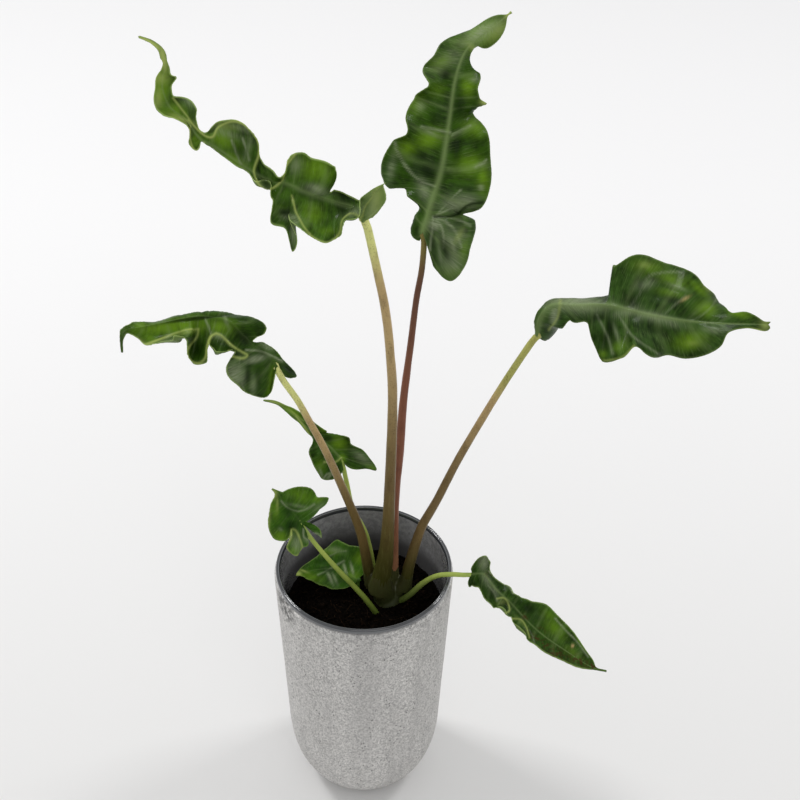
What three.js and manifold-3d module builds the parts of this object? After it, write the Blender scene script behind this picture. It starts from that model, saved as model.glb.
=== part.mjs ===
// Potted alocasia: eight leaves on one stem base, in soil, a grow liner and a concrete pot.
// Millimetres, +Z up, origin at the centre of the pot's foot. The plant is seen from -Y.

import * as THREE from 'three';
import { mergeVertices } from 'three/addons/utils/BufferGeometryUtils.js';
import Module from 'manifold-3d';

const wasm = await Module();
wasm.setup();

// Driving dimensions
const CLEARANCE = 0.3;

const POT_HEIGHT = 205;
const POT_RIM_RADIUS = 63.5;
const POT_SHOULDER_RADIUS = 57;
const POT_SHOULDER_HEIGHT = 60;
const POT_FOOT_RADIUS = 28;
const POT_WALL = 7;
const POT_FLOOR = 10;
const POT_SIDES = 40;
const RIM_EDGE_IN = 0.8;
const RIM_EDGE_DOWN = 2;
const LEDGE_ABOVE = 2;
const LEDGE_BELOW = 6;
const OUTER_ARC_STEPS = 7;
const INNER_ARC_STEPS = 4;

const LIP_RADIUS = 62.5;
// Section of the lip: in from its outer edge and up from its foot
const LIP_SECTION = [[0.6, 0], [0, 1], [0.4, 3.1], [1.4, 3.7], [2.2, 3.4], [3, 2.2]];
const LINER_NECK_HEIGHT = 187;
const LINER_NECK_RADIUS = 59.2;
const LINER_FLOOR_HEIGHT = 100;
const LINER_FLOOR_RADIUS = 46;
const LINER_STEP = 1.6;
const LINER_WALL = 1.2;
const LINER_FOOT_EDGE = 2;
const STEP_SLOPE = 2.5;
const OUTER_STEP_SLOPE = 3;
const LIP_UNDERCUT = 2;
const DRAIN_HOLES = 5;
const DRAIN_RADIUS = 4;
const DRAIN_SIDES = 8;
const DRAIN_REACH = 4;
const DRAIN_CIRCLE = 26;

const SOIL_HEIGHT = 173;
const SOIL_RISE = 2.5;
// Shares of the soil's radius and how far below the top it lies there, as shares of the rise
const SOIL_SECTION = [[0.85, 0.1], [0.6, 0.3], [0.3, 0]];

const CORM_CENTRE = [17, 5];
const CORM_RADIUS = 15;
const CORM_TOP = 179;
const CORM_BOTTOM = 140;
const CORM_HEART = 163;
const CORM_FULLNESS = 0.8;
const CORM_RINGS = 6;
const CORM_SIDES = 12;
const ROOT_COUNT = 5;
const ROOT_RADII = [1.8, 1.44, 0.9];
const ROOT_START = 148;
const ROOT_REACH = [27, 23, 19];
const ROOT_DROP = [26, 21];
const ROOT_TURN = 0.3;
const ROOT_CURL = 0.5;
const ROOT_SAG = 1.5;

const STALK_SIDES = 8;
const SMALL_STALK_SIDES = 6;
const STALK_STEPS = 16;
const SMALL_STALK_STEPS = 10;
const SHEATH_FOOT = 0.3;
const SHEATH_SINK = 0.4;
const SHEATH_TAPER = 0.98;
const BLADE_HALF = 0.32;

// Smooth curve through rows of numbers, one row at each whole value of t
function smooth(rows, t) {
  const last = rows.length - 1;
  const i = Math.min(Math.max(Math.floor(t), 0), last - 1);
  const f = t - i;
  return rows[i].map((from, k) => {
    const to = rows[i + 1][k];
    const before = i > 0 ? rows[i - 1][k] : 2 * from - to;
    const after = i < last - 1 ? rows[i + 2][k] : 2 * to - from;
    const slope = to - before;
    const bend = 2 * before - 5 * from + 4 * to - after;
    const twist = 3 * from - before - 3 * to + after;
    return 0.5 * (2 * from + slope * f + bend * f * f + twist * f * f * f);
  });
}

// A path through points, read at shares of its length
class Path {
  constructor(points, samples = 400) {
    this.points = [];
    this.lengths = [0];
    for (let k = 0; k < samples; k++) {
      const t = (k / (samples - 1)) * (points.length - 1);
      this.points.push(new THREE.Vector3(...smooth(points, t)));
      if (k > 0) {
        this.lengths.push(this.lengths[k - 1] + this.points[k].distanceTo(this.points[k - 1]));
      }
    }
    this.length = this.lengths[samples - 1];
  }

  at(share) {
    const goal = THREE.MathUtils.clamp(share, 0, 1) * this.length;
    let k = 1;
    while (k < this.lengths.length - 1 && this.lengths[k] < goal) k++;
    const f = (goal - this.lengths[k - 1]) / (this.lengths[k] - this.lengths[k - 1]);
    return this.points[k - 1].clone().lerp(this.points[k], f);
  }

  tangent(share, reach = 0.01) {
    return this.at(share + reach).sub(this.at(share - reach)).normalize();
  }
}

// Value read from a list that is spread evenly over 0 to 1
function spread(list, share) {
  const t = THREE.MathUtils.clamp(share, 0, 1) * (list.length - 1);
  const i = Math.min(Math.floor(t), list.length - 2);
  return THREE.MathUtils.lerp(list[i], list[i + 1], t - i);
}

// Closed mesh from a list of points and a list of triangles
function closedMesh(points, triangles) {
  const geometry = new THREE.BufferGeometry();
  const numbers = points.flatMap((p) => [p.x, p.y, p.z]);
  geometry.setAttribute('position', new THREE.Float32BufferAttribute(numbers, 3));
  geometry.setIndex(triangles.flat());
  return geometry;
}

function toSolid(geometry) {
  const plain = geometry.clone();
  plain.deleteAttribute('normal');
  plain.deleteAttribute('uv');
  const merged = mergeVertices(plain, 1e-4);
  return new wasm.Manifold(new wasm.Mesh({
    numProp: 3,
    vertProperties: new Float32Array(merged.attributes.position.array),
    triVerts: new Uint32Array(merged.index.array),
  }));
}

function toGeometry(solid) {
  const mesh = solid.getMesh();
  const geometry = new THREE.BufferGeometry();
  geometry.setAttribute('position', new THREE.BufferAttribute(new Float32Array(mesh.vertProperties), 3));
  geometry.setIndex(new THREE.BufferAttribute(new Uint32Array(mesh.triVerts), 1));
  return geometry;
}

// The biggest body of a solid, without the crumbs that a cut leaves
function mainBody(solid) {
  const bodies = solid.decompose();
  return bodies.reduce((best, body) => (body.volume() > best.volume() ? body : best));
}

// Union of many solids, joined in pairs
function add(solids) {
  let left = solids;
  while (left.length > 1) {
    left = left.flatMap((solid, k) => (k % 2 ? [] : [k + 1 < left.length ? solid.add(left[k + 1]) : solid]));
  }
  return left[0];
}

// Turned solid about Z from a profile of [radius, height] that starts and ends on the axis
function turned(profile, sides, centre = [0, 0]) {
  const points = profile.map(([radius, height]) => new THREE.Vector2(radius, height));
  const geometry = new THREE.LatheGeometry(points, sides);
  geometry.rotateX(Math.PI / 2);
  geometry.translate(centre[0], centre[1], 0);
  return toSolid(geometry);
}

// Round tapered tube along a path, from one share of its length to another
function tube(path, radii, { from = 0, to = 1, steps = STALK_STEPS, sides = STALK_SIDES, extra = 0 } = {}) {
  const points = [];
  const triangles = [];
  const aside = new THREE.Vector3(0.1, 1, 0.1);
  for (let i = 0; i <= steps; i++) {
    const share = from + ((to - from) * i) / steps;
    const centre = path.at(share);
    const ahead = path.tangent(share);
    const u = new THREE.Vector3().crossVectors(ahead, aside).normalize();
    const v = new THREE.Vector3().crossVectors(ahead, u);
    if (i === 0) points.push(centre.clone().addScaledVector(ahead, -extra));
    for (let k = 0; k < sides; k++) {
      const turn = (2 * Math.PI * k) / sides;
      const radius = spread(radii, share) + extra;
      points.push(centre.clone()
        .addScaledVector(u, radius * Math.cos(turn))
        .addScaledVector(v, radius * Math.sin(turn))
        .addScaledVector(ahead, i === 0 ? -extra : i === steps ? extra : 0));
    }
    if (i === steps) points.push(centre.clone().addScaledVector(ahead, extra));
  }
  const top = points.length - 1;
  for (let k = 0; k < sides; k++) {
    const next = (k + 1) % sides;
    triangles.push([0, 1 + next, 1 + k]);
    for (let i = 0; i < steps; i++) {
      const a = 1 + i * sides + k;
      const b = 1 + i * sides + next;
      triangles.push([a, b, b + sides], [a, b + sides, a + sides]);
    }
    triangles.push([top, top - sides + k, top - sides + next]);
  }
  return toSolid(closedMesh(points, triangles));
}

// Leaves, numbered as they stand in the plant. Each has:
//   stalk      points of the stalk from the soil to the blade
//   thickness  stalk radii, spread evenly over its length
//   stop       how far short of the blade's base the stalk's solid ends
//   face       the way the upper side looks, at the blade's base and at its tip
//   midrib     points of the midrib from the stalk to the tip
//   stations   ribs along the midrib: share of its length, then for the left half and the right half
//              [width, sweep towards the tip, lift at the midrib, lift at the margin], and the roll
// Widths are millimetres over the curved blade; sweep, lift and roll are degrees.
const LEAVES = {
  leaf_1: {
    stalk: [[11, 2, 182], [16, -1, 230], [18, -6, 300], [19, -14, 372], [17, -19, 416],
      [14, -23, 450], [9, -27, 482], [3, -30, 516]],
    thickness: [8, 4.9, 3.9, 3.4, 3.1, 2.8, 2.6, 2.4],
    stop: 3.4,
    face: [[0, -0.5, 0.86], [0, -0.5, 0.86]],
    midrib: [[2, -30, 518], [-5, -28, 525], [-18, -24, 527], [-32, -20, 530], [-44, -16, 533],
      [-57, -12, 534], [-70, -8, 541], [-84, -4, 549], [-93, 0, 552], [-100, 3, 561],
      [-109, 6, 568], [-113, 9, 577], [-113, 12, 584], [-111, 14, 590], [-112, 16, 598],
      [-118, 18, 603], [-126, 20, 605]],
    perStation: 1,
    stations: [
      [0, [9, 0, 50, 70], [7, -5, 0, 20], 40],
      [0.015, [27, 20, 50, 80], [20, -10, 0, 20], 40],
      [0.03, [33, 35, 50, 80], [18, 0, 10, 30], 40],
      [0.042, [36, 8, 50, 80], [11, -15, 10, 40], 40],
      [0.052, [17, 0, 40, 80], [8, -20, 10, 50], 35],
      [0.06, [28, -20, 0, 60], [6, -20, 20, 60], 30],
      [0.08, [22, -20, -10, 60], [6, -5, 20, 60], 15],
      [0.1, [30, -25, -10, 60], [7, 10, 20, 60], 10],
      [0.13, [25, -30, -10, 20], [7, 0, 0, 30], 0],
      [0.16, [30, -25, -10, 20], [7, -40, 20, 50], 0],
      [0.185, [30, -20, -10, 30], [27, -50, 30, 90], 0],
      [0.21, [33, -20, -10, 50], [23, -30, 20, 60], 0],
      [0.235, [31, -15, -10, 60], [20, 0, 0, 30], 0],
      [0.25, [22, -15, -10, 40], [21, 10, 0, 40], 0],
      [0.26, [30, -30, -10, -10], [20, 15, 0, 50], 0],
      [0.268, [38, -26, -10, -30], [19, 15, 0, 60], 0],
      [0.277, [26, -20, -10, -20], [17, 15, 0, 70], 0],
      [0.287, [24, 0, -10, -20], [13, 5, 10, 90], 0],
      [0.302, [13, 0, -10, 10], [8, -40, 20, 90], 0],
      [0.317, [15, -10, -10, 70], [7, -85, 30, 80], 0],
      [0.333, [17, -30, -20, 130], [6, -65, 30, 60], 0],
      [0.352, [16, -20, -20, 140], [7, -10, 20, 50], 0],
      [0.375, [14, -15, -20, 120], [8, 5, 20, 50], 0],
      [0.4, [4, -15, -20, 80], [11, 10, 20, 50], 0],
      [0.425, [2, -20, -10, 20], [19, 10, 10, 80], 0],
      [0.455, [3, -30, -10, 0], [24, 15, 10, 90], 0],
      [0.5, [2.5, -30, -10, 0], [23, 15, 10, 80], 0],
      [0.54, [1.5, 0, -10, -10], [16, 15, 10, 60], 0],
      [0.565, [1, 0, -10, 0], [10, 10, 10, 40], 0],
      [0.59, [1, -50, -10, 0], [5, 5, 0, 40], 0],
      [0.61, [9, -55, -20, -10], [4, 30, 0, 30], 0],
      [0.63, [8, -40, -30, 10], [7, 40, 0, 20], 0],
      [0.655, [4, -45, -20, 100], [10, 20, 0, 20], 0],
      [0.69, [6, 5, 10, 70], [11, 10, 10, 30], 0],
      [0.73, [7, -10, 0, 30], [7, 40, 10, 30], 0],
      [0.78, [9, -40, 0, 30], [6, 20, 0, 30], 0],
      [0.815, [6.5, -55, 0, 20], [9, 20, 0, 20], 0],
      [0.845, [5, -50, 0, 20], [4, 15, 0, 20], 0],
      [0.875, [2, -30, 0, 20], [1, 5, 0, 20], 0],
      [0.9, [3, -10, 0, 20], [1, -15, 0, 20], 0],
      [0.94, [1.8, -10, 0, 20], [1.2, -40, 0, 20], 0],
      [1, [1.2, -50, 0, 20], [1.2, -50, 0, 20], 0],
    ],
  },
  leaf_2: {
    stalk: [[20, 10, 189], [21, 13, 260], [24, 15, 305], [26, 18, 346], [30, 21, 390], [33, 23, 424],
      [36, 25, 446], [37, 27, 465]],
    thickness: [4.6, 3.7, 3.3, 3, 2.6, 2.2, 2, 1.8],
    stop: 5,
    face: [[0.05, -0.8, 0.5], [0.1, -0.75, 0.6]],
    midrib: [[36, 28, 472], [40, 38, 483], [47, 56, 500], [51, 74, 520], [55, 92, 544], [62, 104, 558],
      [76, 114, 566], [89, 120, 575]],
    perStation: 2,
    stations: [
      [0, [6, -90, -10, -60], [22, -55, 0, -20], 0],
      [0.01, [12, 0, -10, -90], [36, -45, 0, -20], 0],
      [0.03, [13, 25, -10, -90], [38, -30, 0, -30], 0],
      [0.05, [10, 50, -10, -40], [34, -10, 0, -30], 0],
      [0.1, [16, 15, -10, -30], [37, 10, -10, -50], 0],
      [0.15, [21, 5, -10, -50], [24, -5, -10, -40], 0],
      [0.19, [35, -10, -10, -60], [31, -5, 0, 10], 0],
      [0.25, [42, -5, 10, -60], [32, 0, 10, 0], 0],
      [0.32, [34, 5, 10, -20], [30, 10, 10, -20], 0],
      [0.39, [28, -5, 0, 40], [27, 20, 10, -20], 0],
      [0.46, [29, -5, 0, 30], [21, 30, -10, -50], 0],
      [0.515, [24, 5, 0, -10], [19, 12, 0, -40], 0],
      [0.54, [23, 5, 0, -20], [25, 8, 0, -40], 0],
      [0.565, [20, 0, 0, 0], [18, 5, 0, -20], 0],
      [0.61, [17, -10, 0, 30], [15, 0, 0, 20], 0],
      [0.68, [23, -15, 0, -40], [15, 5, 0, -30], 0],
      [0.76, [21, -45, 0, 0], [7, -30, 0, -60], 0],
      [0.84, [20, -55, 0, -30], [7, -55, 0, -60], 0],
      [0.91, [10, -40, 0, -40], [13, -50, 0, -20], 0],
      [0.97, [1.5, 20, 0, 0], [1.5, 0, 0, 0], 0],
      [1, [0.8, 0, 0, 0], [0.8, 0, 0, 0], 0],
    ],
  },
  leaf_3: {
    stalk: [[29, 6, 180], [33, 6, 209], [40, 5, 242], [50, 4, 269], [63, 2, 308], [77, 0, 345],
      [91, -3, 381], [104, -6, 412], [107, -7, 419]],
    thickness: [4.6, 3.6, 3, 2.7, 2.5, 2.3, 2.2],
    stop: 1.3,
    face: [[0, -0.45, 0.9], [0, -0.35, 0.95]],
    midrib: [[108, -7, 420], [109, -8, 435], [116, -4, 441], [131, 0, 438], [152, 4, 436],
      [182, 10, 424], [220, 20, 412], [260, 30, 404]],
    perStation: 2,
    stations: [
      [0, [2, 45, -10, -60], [15, -55, -10, -60], 0],
      [0.03, [5, 55, -10, -60], [25, -50, -10, -60], 0],
      [0.08, [7, 65, -10, -50], [18, -20, -10, -60], 0],
      [0.16, [9, 40, -10, -30], [15, 50, -10, -40], 0],
      [0.25, [20, 50, -20, -40], [10, 10, -10, -40], 0],
      [0.3, [25, 45, -30, -40], [16, -15, -20, -50], 0],
      [0.33, [46, 45, -30, -30], [28, -5, -20, -50], 0],
      [0.36, [27, 5, 0, 20], [35, 0, -20, -40], 0],
      [0.42, [37, 5, 10, 20], [34, -5, -10, 0], 0],
      [0.5, [43, 20, 10, 0], [36, -25, 0, 30], 0],
      [0.58, [43, 30, 10, 0], [24, 5, -10, -40], 0],
      [0.66, [28, 35, 10, 30], [25, 20, -20, -50], 0],
      [0.74, [29, 45, 10, -30], [19, 30, 0, -20], 0],
      [0.82, [11, 40, 10, 0], [7, 20, 0, 0], 0],
      [0.91, [8, 15, 20, 40], [3, 20, 0, -20], 0],
      [0.97, [3, 50, 20, 60], [6, 50, 0, -60], 0],
      [1, [2.5, 50, 20, 60], [3, 40, 0, -60], 0],
    ],
  },
  leaf_4: {
    stalk: [[5, 10, 178], [1, 9, 210], [-3, 8, 236], [-11, 7, 265], [-25, 5, 310],
      [-36, 4, 339], [-43, 3, 357], [-51, 1, 374], [-55, 0, 385]],
    thickness: [4.4, 3.5, 3.1, 2.8, 2.5, 2.2, 2.1],
    stop: 9.4,
    face: [[0.1, -0.7, 0.7], [0, -0.7, 0.7]],
    midrib: [[-55, 0, 387], [-60, 1, 395], [-69, 3, 400], [-76, 5, 408], [-85, 7, 417], [-100, 9, 419],
      [-116, 11, 415], [-129, 13, 410], [-142, 15, 405], [-152, 17, 401], [-156, 19, 392],
      [-157, 20, 381]],
    perStation: 1,
    stations: [
      [0, [4, -45, 0, 0], [6, -90, -10, -20], 0],
      [0.015, [26, -60, -20, -30], [20, -80, -10, -40], 0],
      [0.03, [32, -55, -20, -30], [28, -70, -10, -40], 0],
      [0.05, [31, -30, -20, -30], [18, -65, -10, -40], 0],
      [0.08, [28, 5, -20, -20], [11, -65, -10, -40], 0],
      [0.12, [26, 20, -10, -10], [10, -50, -10, -40], 0],
      [0.155, [22, 10, 0, 0], [8, -30, -10, -40], 0],
      [0.18, [17, 0, -10, 10], [3, -40, 0, -30], 0],
      [0.205, [14, -10, -20, 30], [6, -50, 0, -20], 0],
      [0.235, [14, -20, -20, 60], [12, -55, 0, -20], 0],
      [0.27, [23, -20, -20, 110], [20, -55, 0, -20], 0],
      [0.3, [33, -10, -20, 110], [25, -55, 0, -40], 0],
      [0.33, [40, -5, -20, 110], [21, -55, -10, -60], 0],
      [0.36, [33, -5, -20, 100], [16, -50, -30, -70], 0],
      [0.385, [23, 0, -20, 80], [12, -30, -40, -70], 0],
      [0.4, [20, -5, -20, 50], [10, -20, -40, -70], 0],
      [0.413, [22, -5, -10, 20], [9, -10, -40, -70], 0],
      [0.425, [28, -5, -10, 0], [8, -5, -40, -70], 0],
      [0.44, [30, 0, -20, 0], [8, -5, -40, -70], 0],
      [0.46, [31, 10, -30, 10], [6, -5, -40, -70], 0],
      [0.478, [28, 15, -30, 10], [7, 0, -40, -70], 0],
      [0.492, [24, 10, -20, 40], [7, 5, -40, -70], 0],
      [0.508, [22, -5, -10, 90], [7, 15, -40, -70], 0],
      [0.545, [28, -10, -10, 120], [8, 35, -40, -70], 0],
      [0.59, [30, -20, -30, 120], [13, 55, -40, -70], 0],
      [0.64, [23, -10, -30, 110], [13, 60, -40, -70], 0],
      [0.685, [16, 0, -20, 70], [10, 60, -40, -60], 0],
      [0.73, [12, 15, -10, 20], [9, 50, -30, -50], 0],
      [0.77, [7, 15, 0, 0], [10, 50, -30, -40], 0],
      [0.81, [4, 5, 0, 0], [5, 40, -20, -30], 0],
      [0.85, [2, 0, 0, 0], [6, 50, -20, -30], 0],
      [0.89, [2, 45, 0, 0], [2.5, 15, -10, -20], 0],
      [0.94, [1.2, 40, 0, 0], [1.3, 30, -10, -20], 0],
      [1, [0.7, 0, 0, 0], [0.7, 0, 0, 0], 0],
    ],
  },
  leaf_5: {
    stalk: [[8, 22.5, 162], [1, 29, 208], [-9, 34, 232], [-13, 40, 250], [-16, 44, 265]],
    thickness: [3.4, 2.6, 2.1, 1.8, 1.6],
    stop: 8.6,
    face: [[0, -0.6, 0.8], [0, -0.6, 0.8]],
    midrib: [[-17, 45, 269], [-25, 50, 276], [-36, 56, 282], [-47, 62, 290], [-61, 70, 297],
      [-73, 75, 297]],
    perStation: 1,
    stations: [
      [0, [8, -60, -10, -20], [6, -95, -10, -20], 0],
      [0.02, [14, -45, -10, -20], [21, -65, -10, -30], 0],
      [0.05, [19, -35, -10, -30], [35, -60, -10, -40], 0],
      [0.09, [22, -25, -10, -30], [28, -50, -10, -30], 0],
      [0.14, [20, -15, -10, -20], [23, -45, -10, -20], 0],
      [0.2, [16, 5, 0, 0], [17, -50, 0, 0], 0],
      [0.27, [13, 10, 10, 20], [20, -50, 10, 30], 0],
      [0.33, [5, 0, 0, 0], [17, -50, 10, 30], 0],
      [0.38, [3, -20, 0, 0], [14, -50, 0, 20], 0],
      [0.43, [3, -20, -10, -20], [12, -55, 0, 0], 0],
      [0.48, [2.5, -10, -10, -20], [15, -60, 0, 40], 0],
      [0.55, [1.7, 10, -10, -10], [12, -60, 0, 50], 0],
      [0.64, [2, -5, 0, 0], [8, -50, 0, 40], 0],
      [0.74, [1.6, -5, 0, 10], [5, -45, 0, 30], 0],
      [0.85, [1, -30, 0, 10], [3, -60, 0, 20], 0],
      [1, [0.6, 0, 0, 0], [0.6, 0, 0, 0], 0],
    ],
  },
  leaf_6: {
    stalk: [[14, -10, 160], [1, -12, 188], [-20, -15, 223], [-33, -18, 248], [-40, -20, 264]],
    thickness: [2.4, 2, 1.8, 1.6, 1.5],
    stop: 5.4,
    face: [[0.1, -0.6, 0.8], [0, -0.6, 0.8]],
    midrib: [[-41, -20, 268], [-44, -19, 272], [-49, -17, 279], [-54, -15, 285], [-57, -13, 289],
      [-61, -12, 292]],
    perStation: 1,
    stations: [
      [0, [6, -80, 0, 0], [17, -80, 30, 50], 0],
      [0.02, [11, -75, 0, 0], [14, -60, 30, 50], 0],
      [0.04, [16, -70, 0, 0], [4, -35, 10, 10], 0],
      [0.06, [18, -65, 0, 0], [17, -10, 0, 0], 0],
      [0.08, [19, -60, 0, -10], [21, -10, 0, 10], 0],
      [0.11, [22, -55, 0, -10], [25, -5, 0, 10], 0],
      [0.14, [26, -50, 0, -10], [23, 0, 10, 0], 0],
      [0.18, [22, -35, -10, 0], [20, 5, 20, -10], 0],
      [0.22, [15, -30, -10, 60], [20, 5, 20, -20], 0],
      [0.27, [19, -30, -10, 30], [21, 5, 20, -30], 0],
      [0.33, [22, -20, -10, 30], [21, 10, 20, -30], 0],
      [0.4, [23, -15, -10, 30], [19, 15, 20, -30], 0],
      [0.5, [21, -5, -10, 30], [15, 20, 20, -30], 0],
      [0.62, [17, 0, -10, 40], [10, 25, 20, -20], 0],
      [0.75, [10, -5, -10, 50], [4, 35, 20, -10], 0],
      [0.86, [3, 0, 0, 10], [2, -10, 5, 0], 0],
      [0.93, [1, 0, 0, 0], [1.2, -10, 0, 0], 0],
      [1, [0.6, 0, 0, 0], [0.8, 0, 0, 0], 0],
    ],
  },
  leaf_7: {
    stalk: [[-2, 12, 154], [-4, 12, 165], [-5, 11, 174], [-5, 10, 182]],
    thickness: [2.2, 1.8, 1.6, 1.5],
    stop: 1.4,
    face: [[0, -0.5, 0.86], [0, -0.5, 0.86]],
    midrib: [[-5, 10, 184], [-21, 16, 188], [-36, 14, 189], [-49, 8, 190]],
    perStation: 1,
    stations: [
      [0, [4, 0, 0, 0], [3, -25, 0, 0], 0],
      [0.03, [7, 10, 0, -10], [7, -30, 0, 0], 0],
      [0.07, [10, 10, 0, -10], [11, -10, 0, 0], 0],
      [0.12, [12, 10, 0, -10], [18, -10, 0, -10], 0],
      [0.18, [14, 10, 0, -10], [23, -5, 0, -10], 0],
      [0.26, [15, 10, 0, -10], [22, -5, 0, 0], 0],
      [0.33, [15, 20, 0, -10], [20, -5, 0, 10], 0],
      [0.41, [15, 30, 0, -10], [21, -10, 0, 10], 0],
      [0.48, [14, 40, 0, -10], [22, -15, 0, 10], 0],
      [0.57, [12, 50, 0, 0], [17, -20, 0, 10], 0],
      [0.67, [10, 55, 0, 0], [12, -20, 0, 0], 0],
      [0.79, [6, 60, 0, 0], [8, -25, 0, 0], 0],
      [0.9, [3, 65, 0, 0], [5, -20, 0, 10], 0],
      [1, [0.8, 50, 0, 0], [0.8, -15, 0, 0], 0],
    ],
  },
  leaf_8: {
    stalk: [[22, 3, 160], [26, 1.5, 171], [33, -2, 182], [42, -5, 197], [51, -9, 208.5],
      [61, -12, 213.5], [75, -15, 216]],
    thickness: [2.6, 2.4, 2.2, 2, 1.8, 1.7, 1.6],
    stop: 3.5,
    face: [[0, -0.5, 0.86], [0.1, -0.5, 0.86]],
    midrib: [[76, -15, 217], [84, -20, 222], [92, -26, 214], [103, -33, 207], [116, -42, 197],
      [126, -50, 193], [141, -58, 187], [157, -66, 181], [168, -70, 181]],
    perStation: 2,
    stations: [
      [0, [4, -20, 0, 30], [2, -50, 0, 0], 0],
      [0.02, [10, 20, 0, 40], [11, -45, -10, -20], 0],
      [0.05, [16, 45, 10, 40], [11, -45, -10, -20], 0],
      [0.08, [11, 15, 10, 40], [10, 0, -10, -20], 0],
      [0.12, [7, -45, 10, 30], [11, 30, -10, -30], 0],
      [0.17, [6, -45, 0, 20], [11, 25, -10, -20], 0],
      [0.23, [8, -25, 0, -30], [11, 10, -10, 20], 0],
      [0.28, [10, -20, 0, -30], [18, 0, -10, 110], 0],
      [0.33, [8, -35, 0, 10], [18, 0, -10, 110], 0],
      [0.38, [11, -25, 0, -40], [9, -5, -10, 60], 0],
      [0.44, [13, -30, 0, 20], [19, -5, -10, 110], 0],
      [0.5, [17, -30, 10, 20], [17, 10, -10, 100], 0],
      [0.57, [21, -25, 10, -10], [10, 0, -10, 30], 0],
      [0.65, [19, -20, 10, -10], [10, -5, 0, 20], 0],
      [0.74, [15, -15, 10, 0], [8, 0, 0, 20], 0],
      [0.83, [10, -15, 10, 0], [6, 0, 0, 20], 0],
      [0.89, [7, -15, 0, 0], [3, 10, 0, 20], 0],
      [0.93, [1.4, 25, 0, 0], [1.2, 0, 0, 0], 0],
      [1, [0.6, 0, 0, 0], [0.7, 0, 0, 0], 0],
    ],
  },
};

// Columns of the blade's grid from the midrib to each margin, by the size of the leaf
const COLUMNS = { leaf_1: 5, leaf_2: 5, leaf_3: 5, leaf_4: 5, leaf_5: 4, leaf_6: 4, leaf_7: 4, leaf_8: 4 };

// Share of each long stalk that is part of the stem base
const SHEATHED = { leaf_1: 0.075, leaf_2: 0.06, leaf_3: 0.1, leaf_4: 0.12 };

// Middle surface of a blade: one row of points for each rib, from the left margin to the right
function bladeRows(leaf, columns) {
  const midrib = new Path(leaf.midrib);
  const [faceFrom, faceTo] = leaf.face.map((way) => new THREE.Vector3(...way));
  const table = leaf.stations.map(([share, left, right, roll]) => [share, ...left, ...right, roll]);
  const rows = [];
  for (let n = 0; n <= (table.length - 1) * leaf.perStation; n++) {
    const values = smooth(table, n / leaf.perStation);
    const share = THREE.MathUtils.clamp(values[0], 0, 1);
    const middle = midrib.at(share);
    const ahead = midrib.tangent(share);
    const up = faceFrom.clone().lerp(faceTo, share).projectOnPlane(ahead).normalize();
    up.applyAxisAngle(ahead, THREE.MathUtils.degToRad(values[9]));
    const right = new THREE.Vector3().crossVectors(ahead, up);
    const half = (side, [width, sweep, liftFrom, liftTo]) => {
      const turn = THREE.MathUtils.degToRad(sweep);
      const out = right.clone().multiplyScalar(side * Math.cos(turn)).addScaledVector(ahead, Math.sin(turn));
      const start = THREE.MathUtils.degToRad(liftFrom);
      const bend = THREE.MathUtils.degToRad(liftTo) - start || 1e-4;
      const reach = Math.max(width, 0.5) / bend;
      return Array.from({ length: columns }, (_, k) => {
        const angle = start + (bend * (k + 1)) / columns;
        return middle.clone()
          .addScaledVector(out, reach * (Math.sin(angle) - Math.sin(start)))
          .addScaledVector(up, reach * (Math.cos(start) - Math.cos(angle)));
      });
    };
    rows.push([...half(-1, values.slice(1, 5)).reverse(), middle, ...half(1, values.slice(5, 9))]);
  }
  return rows;
}

// Directions square to a grid of points, evened out with their neighbours so that both faces stay clear
function gridNormals(rows, passes = 2) {
  const last = [rows.length - 1, rows[0].length - 1];
  let normals = rows.map((row) => row.map(() => new THREE.Vector3()));
  for (let i = 0; i < last[0]; i++) {
    for (let j = 0; j < last[1]; j++) {
      const rising = new THREE.Vector3().subVectors(rows[i + 1][j + 1], rows[i][j]);
      const falling = new THREE.Vector3().subVectors(rows[i + 1][j], rows[i][j + 1]);
      const square = rising.cross(falling).normalize();
      for (const [a, b] of [[i, j], [i + 1, j], [i, j + 1], [i + 1, j + 1]]) normals[a][b].add(square);
    }
  }
  normals.forEach((row) => row.forEach((normal) => normal.normalize()));
  for (let pass = 0; pass < passes; pass++) {
    const at = (i, j) => normals[THREE.MathUtils.clamp(i, 0, last[0])][THREE.MathUtils.clamp(j, 0, last[1])];
    normals = normals.map((row, i) => row.map((normal, j) => normal.clone().multiplyScalar(2)
      .add(at(i - 1, j)).add(at(i + 1, j)).add(at(i, j - 1)).add(at(i, j + 1)).normalize()));
  }
  return normals;
}

// Closed blade with both faces split alike
function blade(leaf, columns) {
  const rows = bladeRows(leaf, columns);
  const normals = gridNormals(rows);
  const lastRow = rows.length - 1;
  const lastColumn = 2 * columns;
  const side = (reach) => rows.flatMap((row, i) => row.map((point, j) => point.clone()
    .addScaledVector(normals[i][j], reach)));
  const upper = side(BLADE_HALF);
  const lower = side(-BLADE_HALF);
  const wide = lastColumn + 1;
  const below = upper.length;
  const triangles = [];
  for (let i = 0; i < lastRow; i++) {
    for (let j = 0; j < lastColumn; j++) {
      const a = i * wide + j;
      const [b, c, d] = [a + 1, a + wide + 1, a + wide];
      triangles.push([a, b, c], [a, c, d]);
      triangles.push([below + a, below + c, below + b], [below + a, below + d, below + c]);
    }
    const a = i * wide;
    const d = a + wide;
    triangles.push([a, d, below + d], [a, below + d, below + a]);
    const b = a + lastColumn;
    const c = b + wide;
    triangles.push([b, below + b, below + c], [b, below + c, c]);
  }
  for (let j = 0; j < lastColumn; j++) {
    triangles.push([j, below + j, below + j + 1], [j, below + j + 1, j + 1]);
    const a = lastRow * wide + j;
    triangles.push([a, a + 1, below + a + 1], [a, below + a + 1, below + a]);
  }
  return toSolid(closedMesh([...upper, ...lower], triangles));
}

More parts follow.
